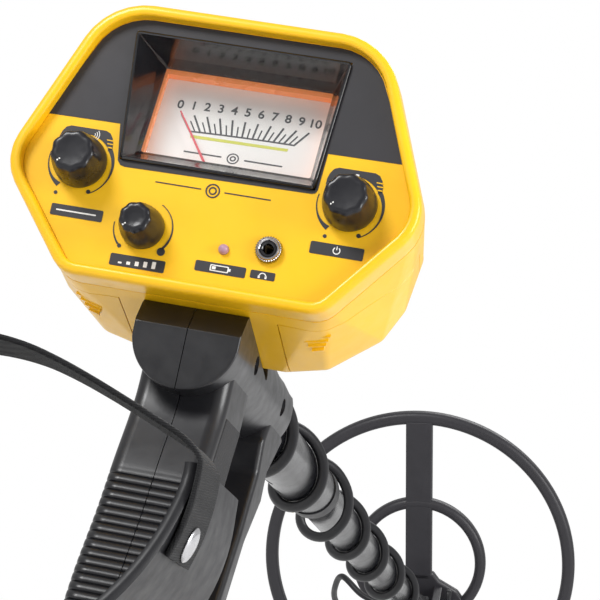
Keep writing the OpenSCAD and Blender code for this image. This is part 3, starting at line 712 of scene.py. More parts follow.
def panel_icons(pale, dark):
    """Generic icons on the label plates and blocks, in place of the wording."""
    for k in range(3):
        decal(pale, arc_band(-44.7, 63.9, 0.55 + k * 0.75, 0.8 + k * 0.75, -45, 45), ICON)
        decal(pale, bar(42.6 + k * 1.9, 43.8 + k * 1.9, 63.5, 63.9 + k * 0.35, 0.1), ICON)
    decal(pale, bar(-51.5, -37.5, 35.95, 36.45, 0.2), ICON)
    for k in range(5):
        decal(pale, bar(-26.5 + k * 2.9, -25.2 + k * 2.9, 21.4, 22.0 + k * 0.45, 0.15), ICON)
    decal(pale, bar(4.6, 11.0, 24.1, 26.3, 0.3), ICON)
    decal(dark, bar(5.0, 10.6, 24.45, 25.95, 0.2), 0.24)
    decal(pale, bar(5.3, 6.6, 24.7, 25.7, 0.1), 0.28)
    decal(pale, bar(11.0, 11.7, 24.75, 25.65, 0.1), ICON)
    decal(pale, arc_band(22.6, 25.0, 0.95, 1.3, -10, 190), ICON)
    for s in (-1, 1):
        decal(pale, bar(22.6 + s * 1.15 - 0.35, 22.6 + s * 1.15 + 0.35, 24.3, 25.3, 0.15), ICON)
    decal(pale, arc_band(45.2, 37.7, 0.95, 1.3, 125, 415), ICON)
    decal(pale, bar(45.03, 45.37, 37.9, 39.2, 0.1), ICON)


def panel_graphics():
    panel_field()
    dark, pale, yellow = bmesh.new(), bmesh.new(), bmesh.new()
    for plate in ((-53.4, -35.2, 34.2, 38.2), (-29.5, -10.5, 20.5, 24.6), (-0.5, 16.8, 23.4, 27.0),
                  (18.4, 26.8, 24.0, 26.8), (36.2, 54.3, 35.6, 39.8)):
        decal(dark, bar(*plate))
    knob_marks(dark, yellow)
    # arcs of the small knob, with a dot at each end
    decal(dark, arc_band(*VOLUME, 9.6, 10.3, 176, 222, thin=2.0))
    decal(dark, arc_band(*VOLUME, 9.4, 10.3, 62, -40, thin=2.0))
    decal(dark, circle_pts(0.7, 20, -27.4, 27.4))
    decal(dark, circle_pts(1.4, 24, -12.9, 27.6))
    panel_icons(pale, dark)
    # plain rules and a ring in place of the title line
    for x0, x1 in ((-20.0, -4.0), (4.0, 20.0)):
        decal(dark, bar(x0, x1, 50.9, 51.3, 0.15))
    for r0, r1 in ((2.0, 2.5), (0.9, 1.4)):
        decal(dark, arc_band(0, 51.1, r0, r1, 0, 359.9))
    finish_mesh(dark, "panel_labels", "print", "housing")
    finish_mesh(pale, "panel_icons", "mark", "housing")
    finish_mesh(yellow, "panel_lines", "panel", "housing")


def meter_xyz(x, v, z):
    return METER_LOCAL @ Vector((x, v, z))


def hood():
    """Glossy frame of the window, sloping in from the panel to the meter's face."""
    lens = rect(-30.6, 30.6, -18.4, 18.4)
    outer = shrink(HOLE, 1.5)
    c = shrink(HOLE, 1.6)
    rings = [[(x, y, z) for x, z in rounded(corners, r, 5)] for corners, r, y in (
        (outer, 1.5, 0.4), (outer, 1.5, -0.9), (outer, 1.25, -1.25), (c, 0.9, -1.4), (c, 0.5, -1.2),
        (c, 0.3, -0.4))]
    flat = rounded(shrink(HOLE, 2.4), 0.5, 5)
    deep = rounded(shrink(lens, 0.4), 0.4, 5)
    for t in (0.15, 0.5, 0.85, 1.0):
        rings.append([tuple(Vector((x, 1.2, z)).lerp(meter_xyz(u, v, -0.6), t))
                      for (x, z), (u, v) in zip(flat, deep)])
    rings.append([tuple(meter_xyz(u, v, -1.0)) for u, v in rounded(shrink(lens, -1.6), 0.8, 5)])
    finish_mesh(loft(rings, cap=False), "hood", "gloss", "housing", replaces=["meter_hood"],
                angle=40)


def lens_parts():
    """Clear window with a softened front edge, and round it an orange strip with a painted glow for the
    light that the lens's edge carries.
    """
    rings = []
    for g, z in ((0, -2.7), (0, -0.6), (-0.25, -0.15), (-1.2, 0.0)):
        w, h = 30.3 + g, 18.1 + g
        rings.append([(x, v, z) for x, v in rounded(rect(-w, w, -h, h), 0.5, 5)])
    finish_mesh(loft(rings), "lens", "lens", "housing", METER, replaces=["meter_lens"])
    outer = rounded(rect(-30.2, 30.2, -18.0, 18.0), 0.4, 5)
    front = rounded(rect(-28.9, 28.9, -17.6, 15.9), 0.5, 5)
    back = rounded(rect(-29.3, 29.3, -17.8, 16.6), 0.5, 5)
    rings = [[(x, v, z) for x, v in pts]
             for pts, z in ((outer, -6.8), (outer, -2.8), (front, -2.8), (back, -6.8))]
    finish_mesh(loft(rings, cap=False), "lens_glow_strip", "edge", "housing", METER)


PIVOT, POINTER_REST = (1.0, -29.0), 35
INK = (-6.96, -6.84)        # bottom and top of what is printed on the dial


def dial_foot(t):
    """How far the scale bows, and its lower line's height; t runs from 0 at left to 1 at right."""
    sag = 1.0 - (2 * t - 1) ** 2
    return sag, lerp(-2.8, -1.9, t) + 0.25 * sag


def ticks(ink):
    for k in range(21):
        t = k / 20
        sag, vb = dial_foot(t)
        xb, xt = lerp(-17.1, 20.1, t), lerp(-21.6, 24.0, t)
        vt = lerp(3.5, 3.8, t) + 0.5 * sag
        long_tick = k % 2 == 0
        if not long_tick:
            xt, vt = lerp(xb, xt, 0.62), lerp(vb, vt, 0.62)
        d = Vector((xt - xb, vt - vb)).normalized()
        s = Vector((-d.y, d.x)) * (0.34 if long_tick else 0.25)
        pts = [(xb - s.x, vb - s.y), (xt - s.x, vt - s.y), (xt + s.x, vt + s.y), (xb + s.x, vb + s.y)]
        add_prism(ink, pts, along_z, *INK)


def dial():
    bm = prism(rounded(rect(-30, 30, -17.7, 17.7), 0.5, 4), along_z, -8, -6.95)
    for s in (-1, 1):
        add_prism(bm, bar(s * 28.5 - 2, s * 28.5 + 2, -10, 10, 0.3), along_z, -20.4, -8)
    finish_mesh(bm, "dial_plate", "dial", "housing", METER, replaces=["meter_dial"])
    ink = bmesh.new()
    ticks(ink)
    base = [(lerp(-17.3, 20.3, k / 24), dial_foot(k / 24)[1]) for k in range(25)]
    add_prism(ink, [(x, v - 0.5) for x, v in base] + [(x, v + 0.1) for x, v in base[::-1]],
              along_z, *INK)
    # target mark and rules in place of the name line
    for r0, r1 in ((1.7, 2.15), (0.6, 1.1)):
        add_prism(ink, arc_band(0.5, -11.2, r0, r1, 0, 359.9), along_z, *INK)
    for x0, x1 in ((-17.0, -3.5), (4.5, 18.0)):
        add_prism(ink, bar(x0, x1, -11.5, -10.95, 0.2), along_z, *INK)
    finish_mesh(ink, "dial_scale", "ink", "housing", METER)
    bm = prism([(-16.2, -5.5), (18.2, -5.0), (18.4, -3.9), (-16.4, -4.3)], along_z, *INK)
    finish_mesh(bm, "dial_band", "lime", "housing", METER)
    for k in range(11):
        x = lerp(-22.9, 25.2, k / 10)
        v = lerp(7.2, 7.6, k / 10) + 0.6 * (1 - (k / 5 - 1) ** 2)
        number(str(k), x, v)


def number(text, x, v):
    data = bpy.data.curves.new("number_" + text, "FONT")
    data.body = text
    data.size = 4.7
    data.offset = 0.085
    data.align_x = data.align_y = "CENTER"
    data.extrude = 0.06
    o = link(bpy.data.objects.new("number_work", data))
    bm = bmesh.new()
    bm.from_mesh(final_mesh(o))
    bpy.data.objects.remove(o)
    bmesh.ops.transform(bm, matrix=Matrix.Translation((x, v, -6.88)), verts=bm.verts)
    finish_mesh(bm, "numeral_" + text, "ink", "housing", METER)


def needle():
    """Pointer at rest, with its hub and the pin it turns on."""
    turn = Matrix.Translation((*PIVOT, 0)) @ Matrix.Rotation(radians(POINTER_REST), 4, "Z")

    def at(u, v, w):
        return turn @ Vector((u, v, w))

    bm = prism([(-0.7, -6), (0.7, -6), (0.55, 0), (0.26, 39.3), (-0.26, 39.3), (-0.55, 0)],
               at, -5.0, -4.4)
    add_lathe(bm, [(1.9, -5.4), (2.2, -5.2), (2.2, -4.0), (1.9, -3.8)], at, 28)
    add_lathe(bm, [(0.8, -12), (0.8, -5.3)], at, 20)
    finish_mesh(bm, "needle", "red", "needle", METER, replaces=["meter_needle"])


LOBES, KNOB_POINTER = 9, 225


def knob(name, centre, r1, r2, h):
    """Control knob: smooth skirt, nine finger scallops, dished cap and a pale pointer."""
    def scallop(a, y, r):
        grow = min(1.0, max(0.0, (-h + 8.0 - y) / 7.0)) ** 1.3
        c = 0.5 - 0.5 * cos(LOBES * a)
        return -0.065 * r2 * grow * (c ** 1.1) * min(1.0, max(0.0, r / r2 - 0.45) / 0.4)

    prof = [(r1 * 0.74, -4.0), (r1 * 0.78, -3.8), (r1 * 0.78, -0.6), (r1 - 0.35, -0.5),
            (r1 - 0.05, -0.75), (r1, -1.2), (r1 - 0.05, -2.0)]
    for t in (k / 14 for k in range(1, 15)):
        prof.append((lerp(r1 - 0.05, r2 + 0.12, t ** 1.5), lerp(-2.0, -h + 1.6, t)))
    prof += [(r2 + dr, -h + dy) for dr, dy in (
        (0, 1.1), (-0.2, 0.7), (-0.5, 0.35), (-0.95, 0.12), (-1.6, 0), (-2.4, 0.05))]
    prof += [(r2 * 0.5, -h + 0.16), (r2 * 0.25, -h + 0.24), (0.3, -h + 0.25)]
    finish_mesh(lathe(prof, axis_y(*centre), 160, scallop), name + "_grip", "knob",
                name + "_control", replaces=[name + "_knob"], angle=50)
    a = radians(KNOB_POINTER)
    d, s = Vector((cos(a), sin(a))), Vector((-sin(a), cos(a)))

    def strip(u, v, w):
        p = Vector(centre) + d * u + s * v
        return (p.x, w, p.y)

    bm = bmesh.new()
    for u in (r2 * 0.62, r2 * 0.62 + 0.85):
        add_prism(bm, rect(u, u + 0.5, -0.22, 0.22), strip, -h - 0.06, -h + 0.3)
    finish_mesh(bm, name + "_pointer", "mark", name + "_control")


def jack():
    """Earphone socket: knurled nut, threaded barrel with its body, and the contact inside."""
    at = axis_y(*JACK)

    def knurl(a, y, r):
        return -0.5 * abs(sin(16 * a)) ** 0.7 if r > 4.3 else 0.0

    bm = lathe([(2.86, 0), (4.5, 0), (4.75, -0.3), (4.75, -1.7), (4.4, -2.0), (4.2, -2.05),
                (4.1, -1.85), (3.95, -1.85), (3.85, -2.2), (3.6, -2.5), (3.1, -2.55),
                (2.9, -2.35), (2.86, -1.5)], at, 256, knurl, cap=False)
    finish_mesh(bm, "jack_ring", "nickel", "housing", replaces=["jack_nut"], angle=40)
    bm = lathe([(1.8, 16), (2.84, 16), (2.84, -2.1), (2.6, -2.35), (2.1, -2.4), (1.8, -2.15)],
               at, 48, cap=False)
    add_prism(bm, bar(19.5, 26.5, 30.2, 38, 0.4), along_y, 16.05, 17.4)
    finish_mesh(bm, "jack_barrel", "gloss", "housing", replaces=["earphone_jack"], angle=40)
    bm = lathe([(1.78, 15), (1.78, 11), (1.1, 11.2), (1.1, 15)], at, 32, cap=False)
    finish_mesh(bm, "jack_contact", "brass", "housing", angle=40)


def led():
    bm = lathe([(0.05, -2.35), (0.6, -2.25), (1.1, -1.95), (1.5, -1.5), (1.7, -0.9), (1.75, -0.4),
                (1.75, 2.5), (2.3, 2.55), (2.3, 4.0)], axis_y(*LED), 36)
    for s in (-1, 1):
        add_lathe(bm, [(0.3, 4.0), (0.3, 9.0)], axis_y(LED[0] + s * 1.2, LED[1]), 12)
    finish_mesh(bm, "led", "led", "housing", replaces=["low_battery_led"], angle=40)


bezel()
rear_shell()
panel()
panel_graphics()
hood()
lens_parts()
dial()
needle()
for spec in KNOBS:
    knob(*spec)
jack()
led()


# ---- handle ----
# the grip's back and front: rows of (height, distance along the stem)
GRIP_BACK = [(-140, -40), (-126, -31), (-90, -15.8), (-81, -12.6), (-62, -1.9), (-51, 2.8),
             (-42, 6.3), (-27, 13.8), (-18, 17.5), (-14, 18), (4, 18)]
GRIP_FRONT = [(-140, 20), (-128, 24), (-92, 29.5), (-52, 46), (-18, 58), (-5, 58)]
RIB_PITCH, RIB_TOP, RIB_BOTTOM = 2.96, -44, -118


def smooth(table, z, w=5.0):
    return (in_table(table, z - w) + 2 * in_table(table, z) + in_table(table, z + w)) / 4


def rib(z):
    """Depth of the back strap's ribs: rounded ridges between the thumb saddle and the base."""
    if z > RIB_TOP or z < RIB_BOTTOM:
        return 0.0
    fade = min(1.0, (RIB_TOP - z) / 4.0) * min(1.0, (z - RIB_BOTTOM) / 4.0)
    u = ((z - RIB_TOP) / RIB_PITCH) % 1.0
    return fade * 0.9 * (1 - sqrt(max(0.0, 1 - (2 * u - 1) ** 2)))


def grip_ring(z):
    """Section of the grip at one height: ribbed behind, with rounder corners in front."""
    y0, y1 = smooth(GRIP_BACK, z), smooth(GRIP_FRONT, z)
    r_back, r_front = 5.0, 8.0
    w = 16.0
    half = arc_points(w - r_back, y0 + r_back, r_back, -90, 0, 12)
    half += [(w, lerp(y0 + r_back, y1 - r_front, k / 6)) for k in range(1, 6)]
    half += arc_points(w - r_front, y1 - r_front, r_front, 0, 90, 12)
    cut = rib(z)
    return [(x, y + cut * max(0.0, min(1.0, (y0 + 6.5 - y) / 3.0)), z)
            for x, y in half + [(-x, y) for x, y in reversed(half)]]


STRUT = [(104, -5), (98, -14), (100, -26), (91, -50), (78, -75), (60, -104), (44, -126), (44, -140),
         (66, -140), (66, -126), (76, -104), (91, -75), (101.6, -53), (118, -35), (118, -24),
         (138, -7), (128, -5)]
BASE = [(-60, -128), (-60, -170), (75, -170), (75, -131), (70, -123), (-31, -123)]
NECK_W, NECK_Z = 18.4, 2.5
SEAT_R, SEAT_FROM, SEAT_TO = 12.03, 67.9, 142
FOOT_TOP = 8.0


def neck_section(y):
    """Right half of the neck's outline at one distance along the stem, from below to the top."""
    pts = [(18.5 * sin(radians(k * 4)), NECK_Z - 18.5 * cos(radians(k * 4))) for k in range(22)]
    pts.append((NECK_W, NECK_Z))
    under = y < 66
    lim = 15.0 - (y - 9) * 0.226 - 0.15 if under else min(12.6, lerp(12.6, 8.8, (y - 92) / 38))
    if y < 14:
        lim = min(lim, 4.5 + (y - 6.7) * 1.44)
    for k in range(14):
        a = radians(6 + 84 * k / 13)
        x, z = 18.5 * cos(a), NECK_Z + 18.5 * sin(a)
        if under:
            x = NECK_W * (1 - max(0.0, (k - 4) / 9))
            z = lerp(2.6, lim, min(1.0, k / 4))
        pts.append((min(NECK_W, x), min(z, lim)))
    return pts


def neck_rings():
    """The rounded block under the box, open on top where the tube lies in it."""
    rings = []
    ends = [(7.0, 1.3), (7.0, 0.7), (7.06, 0.42), (7.2, 0.2), (7.45, 0.06), (7.8, 0)]
    middle = [(y, 0) for y in (10, 12, 14, 20, 30, 45, 60, 65.6, 66.0, 80, 92, 110, 125, 129)]
    for y, inset in ends + middle + [(130.5, 0.12), (131.4, 0.45), (132, 1.2), (132, 2.0)]:
        k = 1 - inset / NECK_W
        half = [(x * k, NECK_Z + (z - NECK_Z) * k) for x, z in neck_section(y)]
        rings.append([(x, y, z) for x, z in half] + [(-x, y, z) for x, z in reversed(half)])
    return rings


def slice_off(bm, co, no):
    """Cuts away what lies past a plane and closes the cut."""
    geom = bm.verts[:] + bm.edges[:] + bm.faces[:]
    bmesh.ops.bisect_plane(bm, geom=geom, plane_co=co, plane_no=no, clear_outer=True)
    edges = [e for e in bm.edges if e.is_boundary]
    bmesh.ops.holes_fill(bm, edges=edges, sides=0)


def split_half(bm, s):
    """Keeps one side of the centre plane and leaves a fine parting groove."""
    slice_off(bm, (s * 0.14, 0, 0), (-s, 0, 0))


def cut_below(bm):
    """Cuts the handle level, on top of the rubber foot."""
    inv = PLACE.inverted()
    slice_off(bm, inv @ Vector((0, 0, FOOT_TOP * MM)),
              (inv.to_3x3() @ Vector((0, 0, -1))).normalized())


def with_seat(bm):
    """Opens the neck for the upper tube."""
    return boolean(bm, [prism(circle_pts(SEAT_R, 64), along_y, SEAT_FROM, SEAT_TO)])


# screws through the handle: Y, Z and the depth at which the head sits
FIX = [(43, 3, 15.5), (109, 1, 15.5), (24, -62, 12.9), (8, -100, 12.9), (54, -133, 12.9),
       (-40, -134, 12.9)]


def recessed(bm, s, spots):
    """Counterbores over the handle's screws."""
    return boolean(bm, [prism(circle_pts(3.4, 32, y, z), along_x, s * depth, s * 30)
                        for y, z, depth in spots])


def handle_half(s, side):
    zs = [-150.0]
    while zs[-1] < -1:
        zs.append(zs[-1] + (RIB_PITCH / 8 if -120 < zs[-1] < -43 else 2.0))
    bm = loft([grip_ring(z) for z in zs[:-1]])
    cut_below(bm)
    split_half(bm, s)
    neck = loft(neck_rings())
    split_half(neck, s)
    merge(bm, recessed(with_seat(neck), s, FIX[:2]))
    for pts, w, bevel, spots in ((STRUT, 16, 2.2, []), (BASE, 22, 2.4, FIX[4:])):
        work = prism(pts, along_x, -w, w)
        cut_below(work)
        split_half(work, s)
        work = bevelled(work, bevel)
        if pts is STRUT:
            work = with_seat(work)
        merge(bm, recessed(work, s, spots))
    finish_mesh(bm, "grip_" + side, "grip", "housing", replaces=["handle_" + side], angle=38)


def inserts():
    pts = [(23, -20), (13.3, -42), (-5.6, -81), (-20, -119), (14, -119), (24, -81), (41, -42),
           (50, -20)]
    for s, side in SIDES:
        bm = bevelled(prism(pts[::-1], along_x, s * 11.0, s * 16.3), 0.6)
        finish_mesh(recessed(bm, s, FIX[2:4]), "inlay_" + side, "leather", "housing",
                    replaces=["grip_insert_" + side], angle=40)


def foot():
    rings = []
    for g, z in ((-1.2, 0), (-0.3, 0.35), (0, 1.2), (0, 3.0), (-0.7, 3.3), (-0.7, 3.9), (0, 4.2),
                 (0, 6.8), (-0.5, 7.7), (-1.4, 8.0)):
        rings.append([(x, y, z) for x, y in rounded(rect(-20, 20, -59.5, 59.5), 8 + g, 10)])
    finish_mesh(loft(rings), "foot", "rubber", "housing", WORLD_MM, replaces=["rubber_foot"],
                angle=40)


for side_sign, side_name in SIDES:
    handle_half(side_sign, side_name)
inserts()
foot()


# ---- arm rest ----
CUFF_R, CUFF_Z, STRAP_Y = 58.0, -70.0, -190.5


def cuff():
    """Half-round arm rest, thin, with rounded ends and a rolled edge, on a flat pad."""
    rings = []
    for k in range(65):
        a = radians(-184 + 188 * k / 64)
        rise = (1 - max(0.0, -sin(a))) ** 2
        y0, y1 = lerp(-215, -200, rise), lerp(-125, -140, rise)
        ring = []
        for y, dr in ((y0 + 0.8, 0.2), (y0, 1.2), (y0, 2.3), (y0 + 0.8, 3.3), (y0 + 6, 3.5),
                      ((y0 + y1) / 2, 3.5), (y1 - 6, 3.5), (y1 - 0.8, 3.3), (y1, 2.3), (y1, 1.2),
                      (y1 - 0.8, 0.2), (y1 - 6, 0), ((y0 + y1) / 2, 0), (y0 + 6, 0)):
            r = CUFF_R - 3.5 + dr
            ring.append((r * cos(a), y, CUFF_Z + r * sin(a)))
        rings.append(ring)
    bm = loft(rings)
    merge(bm, bevelled(prism(rect(-13, 13, -131.5, -126.2), along_y, -212, -128), 0.8))
    finish_mesh(bm, "cuff", "black", "housing", replaces=["arm_cuff"], angle=40)


def support_beam():
    pts = [(-56, -129), (-100, -131), (-214, -131.5), (-214.5, -141), (-100, -143), (-56, -146)]
    bm = bevelled(prism(pts, along_x, -15, 15), 2.0)
    for y in (-190, -150):
        add_lathe(bm, [(11.5, -141.4), (12, -141), (12, -132)], lambda u, v, w: (u, y + v, w), 40)
    finish_mesh(bm, "support", "black", "housing", replaces=["arm_support"], angle=40)


def strap_path():
    side = arc_points(0, CUFF_Z, 58.25, -19, 1, 4)
    side += [(57.6, -65.3), (53, -61.6), (45, -58.2), (37, -55), (28, -51.6), (19, -48.6),
             (10, -46.4), (0, -45.6)]
    return side + [(-x, z) for x, z in reversed(side[:-1])]


def spline(points, n):
    """Smooth curve through the points, n steps between each two."""
    p = [Vector(q) for q in points]
    p = [p[0] * 2 - p[1]] + p + [p[-1] * 2 - p[-2]]
    out = []
    for i in range(1, len(p) - 2):
        for k in range(n):
            t = k / n
            a, b, c, d = p[i - 1], p[i], p[i + 1], p[i + 2]
            out.append(0.5 * (2 * b + (c - a) * t + (2 * a - 5 * b + 4 * c - d) * t * t
                              + (3 * b - a - 3 * c + d) * t ** 3))
    out.append(p[-2])
    return out


def tangent(path, i):
    """Direction of a path at its point i."""
    return (path[min(i + 1, len(path) - 1)] - path[max(i - 1, 0)]).normalized()


def strap():
    path = spline(strap_path(), 5)
    rings = []
    for i, p in enumerate(path):
        t = tangent(path, i)
        nrm = Vector((t.y, -t.x))
        ring = []
        for y, d in ((-203, 0.45), (-202.5, 0.12), (-201.6, 0.05), (-190.5, 0.05), (-179.4, 0.05),
                     (-178.5, 0.12), (-178, 0.45), (-178, 1.1), (-178.5, 1.45), (-179.4, 1.55),
                     (-181.0, 1.4), (-190.5, 1.45), (-200.0, 1.4), (-201.6, 1.55), (-202.5, 1.45),
                     (-203, 1.1)):
            q = p + nrm * d
            ring.append((q.x, y, q.y))
        rings.append(ring)
    o = finish_mesh(loft(rings), "strap", "webbing", "housing", replaces=["cuff_strap"], angle=60)


def rivets():
    bm = bmesh.new()
    for deg in (-14, 194):
        a = radians(deg)
        d = Vector((cos(a), 0, sin(a)))
        u, v = Vector((0, 1, 0)), Vector((-sin(a), 0, cos(a)))

        def at(p, q, w):
            return Vector((0, STRAP_Y, CUFF_Z)) + u * p + v * q + d * w

        add_lathe(bm, [(1.9, 54.0), (1.9, 59.9), (4.5, 59.9), (4.5, 60.1), (4.1, 60.55), (3.2, 60.85),
                       (1.8, 61.0), (0.1, 61.05)], at, 36)
        add_lathe(bm, [(0.1, 53.2), (1.8, 53.25), (3.2, 53.6), (3.6, 54.0), (3.6, 54.4), (1.9, 54.4)],
                  at, 36)
    finish_mesh(bm, "rivets", "steel", "housing", replaces=["strap_rivets"], angle=40)


cuff()
support_beam()
strap()
rivets()


# ---- stem ----
CABLE_PITCH, CABLE_R, LEAD_R = 94.0, 2.4, 2.0
# distance of the cable's centre from the stem's axis: wider over the collar
WRAP = ((0, 14.5), (300, 14.5), (312, 15.1), (331, 15.1), (343, 14.5), (362, 14.5), (371, 15.1),
        (397, 15.1), (430, 12.48), (900, 12.48))


def coil_turn(y):
    """Point of the wound cable: close on both tubes, wider where the collar passes under it."""
    a = radians(-39 - (y - 267) * 360 / CABLE_PITCH)
    (y0, r0), (y1, r1) = next(p for p in zip(WRAP, WRAP[1:]) if p[1][0] >= y)
    t = (y - y0) / (y1 - y0)
    r = r0 + (r1 - r0) * t * t * (3 - 2 * t)
    return Vector((r * cos(a), y, r * sin(a)))


def tube_mesh(path, r, sides=20):
    rings = []
    side = tangent(path, 0).orthogonal().normalized()
    for i, p in enumerate(path):
        t = tangent(path, i)
        side = (side - t * side.dot(t)).normalized()
        other = t.cross(side)
        rings.append([tuple(p + r * (cos(2 * pi * k / sides) * side
                                     + sin(2 * pi * k / sides) * other))
                      for k in range(sides)])
    return loft(rings)


def cables():
    lead_in = [(-8, 67, 24), (-8, 72, 24), (-8, 88, 23.5), (-9.5, 108, 20.5), (-10.5, 124, 16)]
    wound = [coil_turn(140 + 2 * k) for k in range(307)]
    path = spline([Vector(p) for p in lead_in] + [wound[0]], 6)[:-1] + wound
    o = finish_mesh(tube_mesh(path, CABLE_R), "wound_cable", "cable", "housing",
                    replaces=["coil_cable"], angle=60, ride=False)
    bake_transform(o)
    slack = [(-26, 766, -4), (-42, 774, 6), (-49, 798, 0), (-51, 828, -6), (-46.8, 855, -8.6),
             (-40.3, 870, -4.9)]
    pts = [coil_turn(y) for y in (753.5, 757, 762)] + [Vector(p) for p in slack]
    pts += [COIL_LOCAL @ Vector((x, -30, 9)) for x in (-31.5, -26)]
    o = finish_mesh(tube_mesh(spline(pts, 12), LEAD_R), "slack_lead", "cable", "stem_lower",
                    replaces=["coil_lead"], angle=60, ride=False)
    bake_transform(o)


BUTTON_Y, BUTTON_ANGLE = 310, 240


def button():
    """Lock button, pressed in along d, and the spring leaf under it."""
    a = radians(BUTTON_ANGLE)
    centre, d, u = Vector((0, BUTTON_Y, 0)), Vector((cos(a), 0, sin(a))), Vector((0, 1, 0))
    v = d.cross(u)

    def at(p, q, w):
        return centre + d * w + u * p + v * q

    bm = lathe([(4.4, 5.9), (4.4, 6.6), (3.5, 6.7), (3.5, 12.6), (3.35, 13.4), (2.8, 13.95),
                (1.8, 14.2), (0.1, 14.25)], at, 40)
    finish_mesh(bm, "lock_button", "cream", "button", replaces=["snap_button"], angle=40)
    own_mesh(NODES["snap_spring"])


cables()
button()


# ---- search coil ----
COIL_R, RING_W, RING_T, INNER_R = 107.5, 8.0, 9.5, 46.5
SEAM = 0.12         # half of the parting line between the two shells
LEAN_SIN, LEAN_COS = sin(radians(COIL_LEAN)), cos(radians(COIL_LEAN))
HINGE_V = -(HINGE_Y - COIL_Y) * LEAN_SIN - COIL_Z * LEAN_COS
HINGE_H = -(HINGE_Y - COIL_Y) * LEAN_COS + COIL_Z * LEAN_SIN
HUB = [(14, -13.5), (27, -21), (34, -31), (27, -39.5), (12, -43.5), (0, -44.5), (-12, -43.5),
       (-27, -39.5), (-34, -31), (-27, -21), (-14, -13.5), (-10, -8), (10, -8)]


def half_ring(bm, r0, r1, s):
    """One moulded half of a ring, rounded outside, with a fine parting line."""
    z, e = RING_T / 2, 3.3
    turns = [radians(9 * k) for k in range(11)]
    prof = [(r0, SEAM * s)]
    prof += [(r0 + e - e * cos(a), s * (z - e + e * sin(a))) for a in turns]
    prof += [(r1 - e + e * sin(a), s * (z - e + e * cos(a))) for a in turns]
    prof += [(r1, SEAM * s)]
    add_lathe(bm, prof, along_z, 160, cap=False)


def coil_half(s, side):
    bm = bmesh.new()
    half_ring(bm, COIL_R - RING_W - 0.3, COIL_R + 0.4, s)
    half_ring(bm, INNER_R - 7.5, INNER_R, s)
    z0, z1 = sorted((SEAM * s, s * RING_T / 2 * 0.94))
    for pts in (rect(-9, 9, -101, -42), rect(-9, 9, -12, 101), HUB[::-1]):
        merge(bm, bevelled(prism(pts, along_z, z0, z1), 0.9))
    if s > 0:
        foot_z = RING_T / 2 - 0.6
        pts = [(-13, foot_z)] + arc_points(0, HINGE_H, 9.5, 180, 0, 18) + [(13, foot_z)]
        for k in (-1, 1):
            ear = prism(pts, lambda u, v, w: (w, HINGE_V + u, v), *sorted((k * 11, k * 17)))
            merge(bm, bevelled(ear, 0.8))
    finish_mesh(bm, "coil_" + side, "coil", "coil", COIL, replaces=["coil_" + side + "_shell"],
                angle=40)


def lead_boot():
    """Ribbed boot where the lead goes into the coil, on its square foot."""
    prof = [(4.2, 19), (4.2, 20)]
    for k in range(5):
        w = 20.5 + k * 2
        prof += [(4.1 - k * 0.22, w), (4.1 - k * 0.22, w + 1.0), (3.4 - k * 0.2, w + 1.25),
                 (3.4 - k * 0.2, w + 1.75)]
    bm = lathe(prof + [(3.0, 30.6), (2.4, 31)], lambda u, v, w: (-w, -30 + u, 9 + v), 32)
    merge(bm, bevelled(prism(rect(-27, -19, -34, -26), along_z, 4.6, 9), 0.5))
    finish_mesh(bm, "lead_boot", "black", "coil", COIL, replaces=["coil_gland"], angle=40)


def tongue():
    """Flat tongue between the coil's ears, its collar, and the plug inside the tube."""
    pts = arc_points(HINGE_Y, 0, 10, -90, 90, 18) + [(848, 9.5), (848, -9.5)]
    bm = bevelled(prism(pts[::-1], along_x, -9.4, 9.4), 0.9)
    add_lathe(bm, [(10.6, 847.2), (11.5, 848), (11.5, 850.4), (10.8, 851)], axis_y(0, 0), 48)
    add_lathe(bm, [(8.2, 815), (8.2, 848)], axis_y(0, 0), 40)
    finish_mesh(bm, "tongue", "black", "stem_lower", TWIST, replaces=["stem_end"], angle=40)


def bolt_and_nut():
    def at(u, v, w):
        return (w, HINGE_Y + u, v)

    bm = lathe([(6.8, -21.4), (7.7, -20.8), (8, -20), (8, -17.4), (7.6, -17)], at, 48,
               lambda a, h, r: -0.35 * (0.5 - 0.5 * cos(18 * a)) if r > 7.8 else 0)
    add_lathe(bm, [(4, -17.2), (4, 26.2), (3.4, 26.9)], at, 32)
    finish_mesh(bm, "tilt_bolt", "black", "coil", TWIST, replaces=["hinge_bolt"], angle=35)
    bm = lathe([(4.03, 17.3), (6.6, 17.3), (7, 17.7), (7, 20), (6.4, 24), (5.6, 25.8), (4.03, 26)],
               at, 40, cap=False)
    for s in (-1, 1):
        wing = [(-2.6, 5.2), (-4.2, 11)] + arc_points(0, 12, 4.3, 160, 20, 10) + [(4.2, 11), (2.6, 5.2)]
        merge(bm, bevelled(prism([(u, s * v) for u, v in wing], at, 20.8, 24.2), 0.9))
    finish_mesh(bm, "wing_grip", "black", "wing", TWIST, replaces=["wing_nut"], angle=40)


coil_half(1, "upper")
coil_half(-1, "lower")
lead_boot()
tongue()
bolt_and_nut()


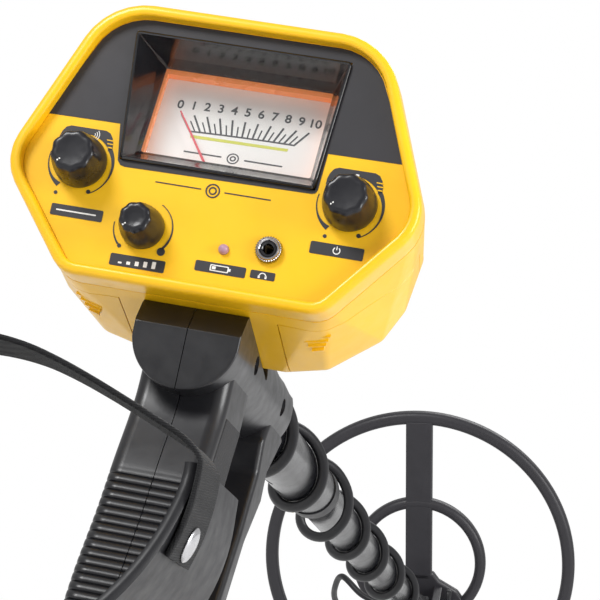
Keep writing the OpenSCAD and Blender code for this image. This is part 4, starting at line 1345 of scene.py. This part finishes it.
# ---- CAD nodes that stay, with finished materials ----
KEPT = {
    "black": "meter_case disc_pot volume_pot sens_pot speaker battery_clip_left"
             " battery_clip_right stem_collar cable_tie",
    "steel": "meter_movement disc_shaft volume_shaft sens_shaft pot_nuts case_screws"
             " handle_screws cuff_bolts cuff_nuts snap_spring",
    "board": "circuit_board", "cell": "battery_left battery_right", "rubber": "cable_gland",
    "tube": "stem_upper_tube stem_lower_tube", "copper": "transmit_winding receive_winding",
}
for key, node_names in KEPT.items():
    for node_name in node_names.split():
        NODES[node_name].data.materials.clear()
        NODES[node_name].data.materials.append(M[key])


# ---- floor and light ----
def stage():
    bpy.context.scene.view_settings.view_transform = "Standard"
    bm = bmesh.new()
    bm.faces.new([bm.verts.new((x, y, 0)) for x, y in rect(-12, 12, -12, 12)])
    data = bpy.data.meshes.new("floor")
    bm.to_mesh(data)
    bm.free()
    o = link(bpy.data.objects.new("floor", data))
    o.location.z = -0.0005
    data.materials.append(M["floor"])


def area(name, place, aim, size, power):
    data = bpy.data.lights.new(name, "AREA")
    data.shape = "DISK"
    data.size = size
    data.energy = power
    o = link(bpy.data.objects.new(name, data))
    o.location = place
    o.rotation_euler = (Vector(aim) - Vector(place)).to_track_quat("-Z", "Y").to_euler()


def lights():
    """White world, full strength to the camera only, and three soft lamps."""
    w = bpy.data.worlds.new("studio")
    bpy.context.scene.world = w
    w.use_nodes = True
    t = w.node_tree
    bg = t.nodes["Background"]
    seen = t.nodes.new("ShaderNodeLightPath").outputs["Is Camera Ray"]
    m = t.nodes.new("ShaderNodeMapRange")
    put(m, {"To Min": 0.55, "To Max": 1.0})
    t.links.new(seen, m.inputs["Value"])
    t.links.new(m.outputs["Result"], bg.inputs["Strength"])
    put(bg, {"Color": (1.0, 1.0, 1.0, 1)})
    area("key", (-0.9, -1.3, 1.5), (0, 0.05, 0.2), 0.8, 30)
    area("fill", (1.5, -0.35, 0.5), (0, 0.25, 0.1), 0.9, 21)
    area("back", (0.2, 1.6, 1.4), (0, 0.4, 0.1), 1.0, 9)


stage()
lights()
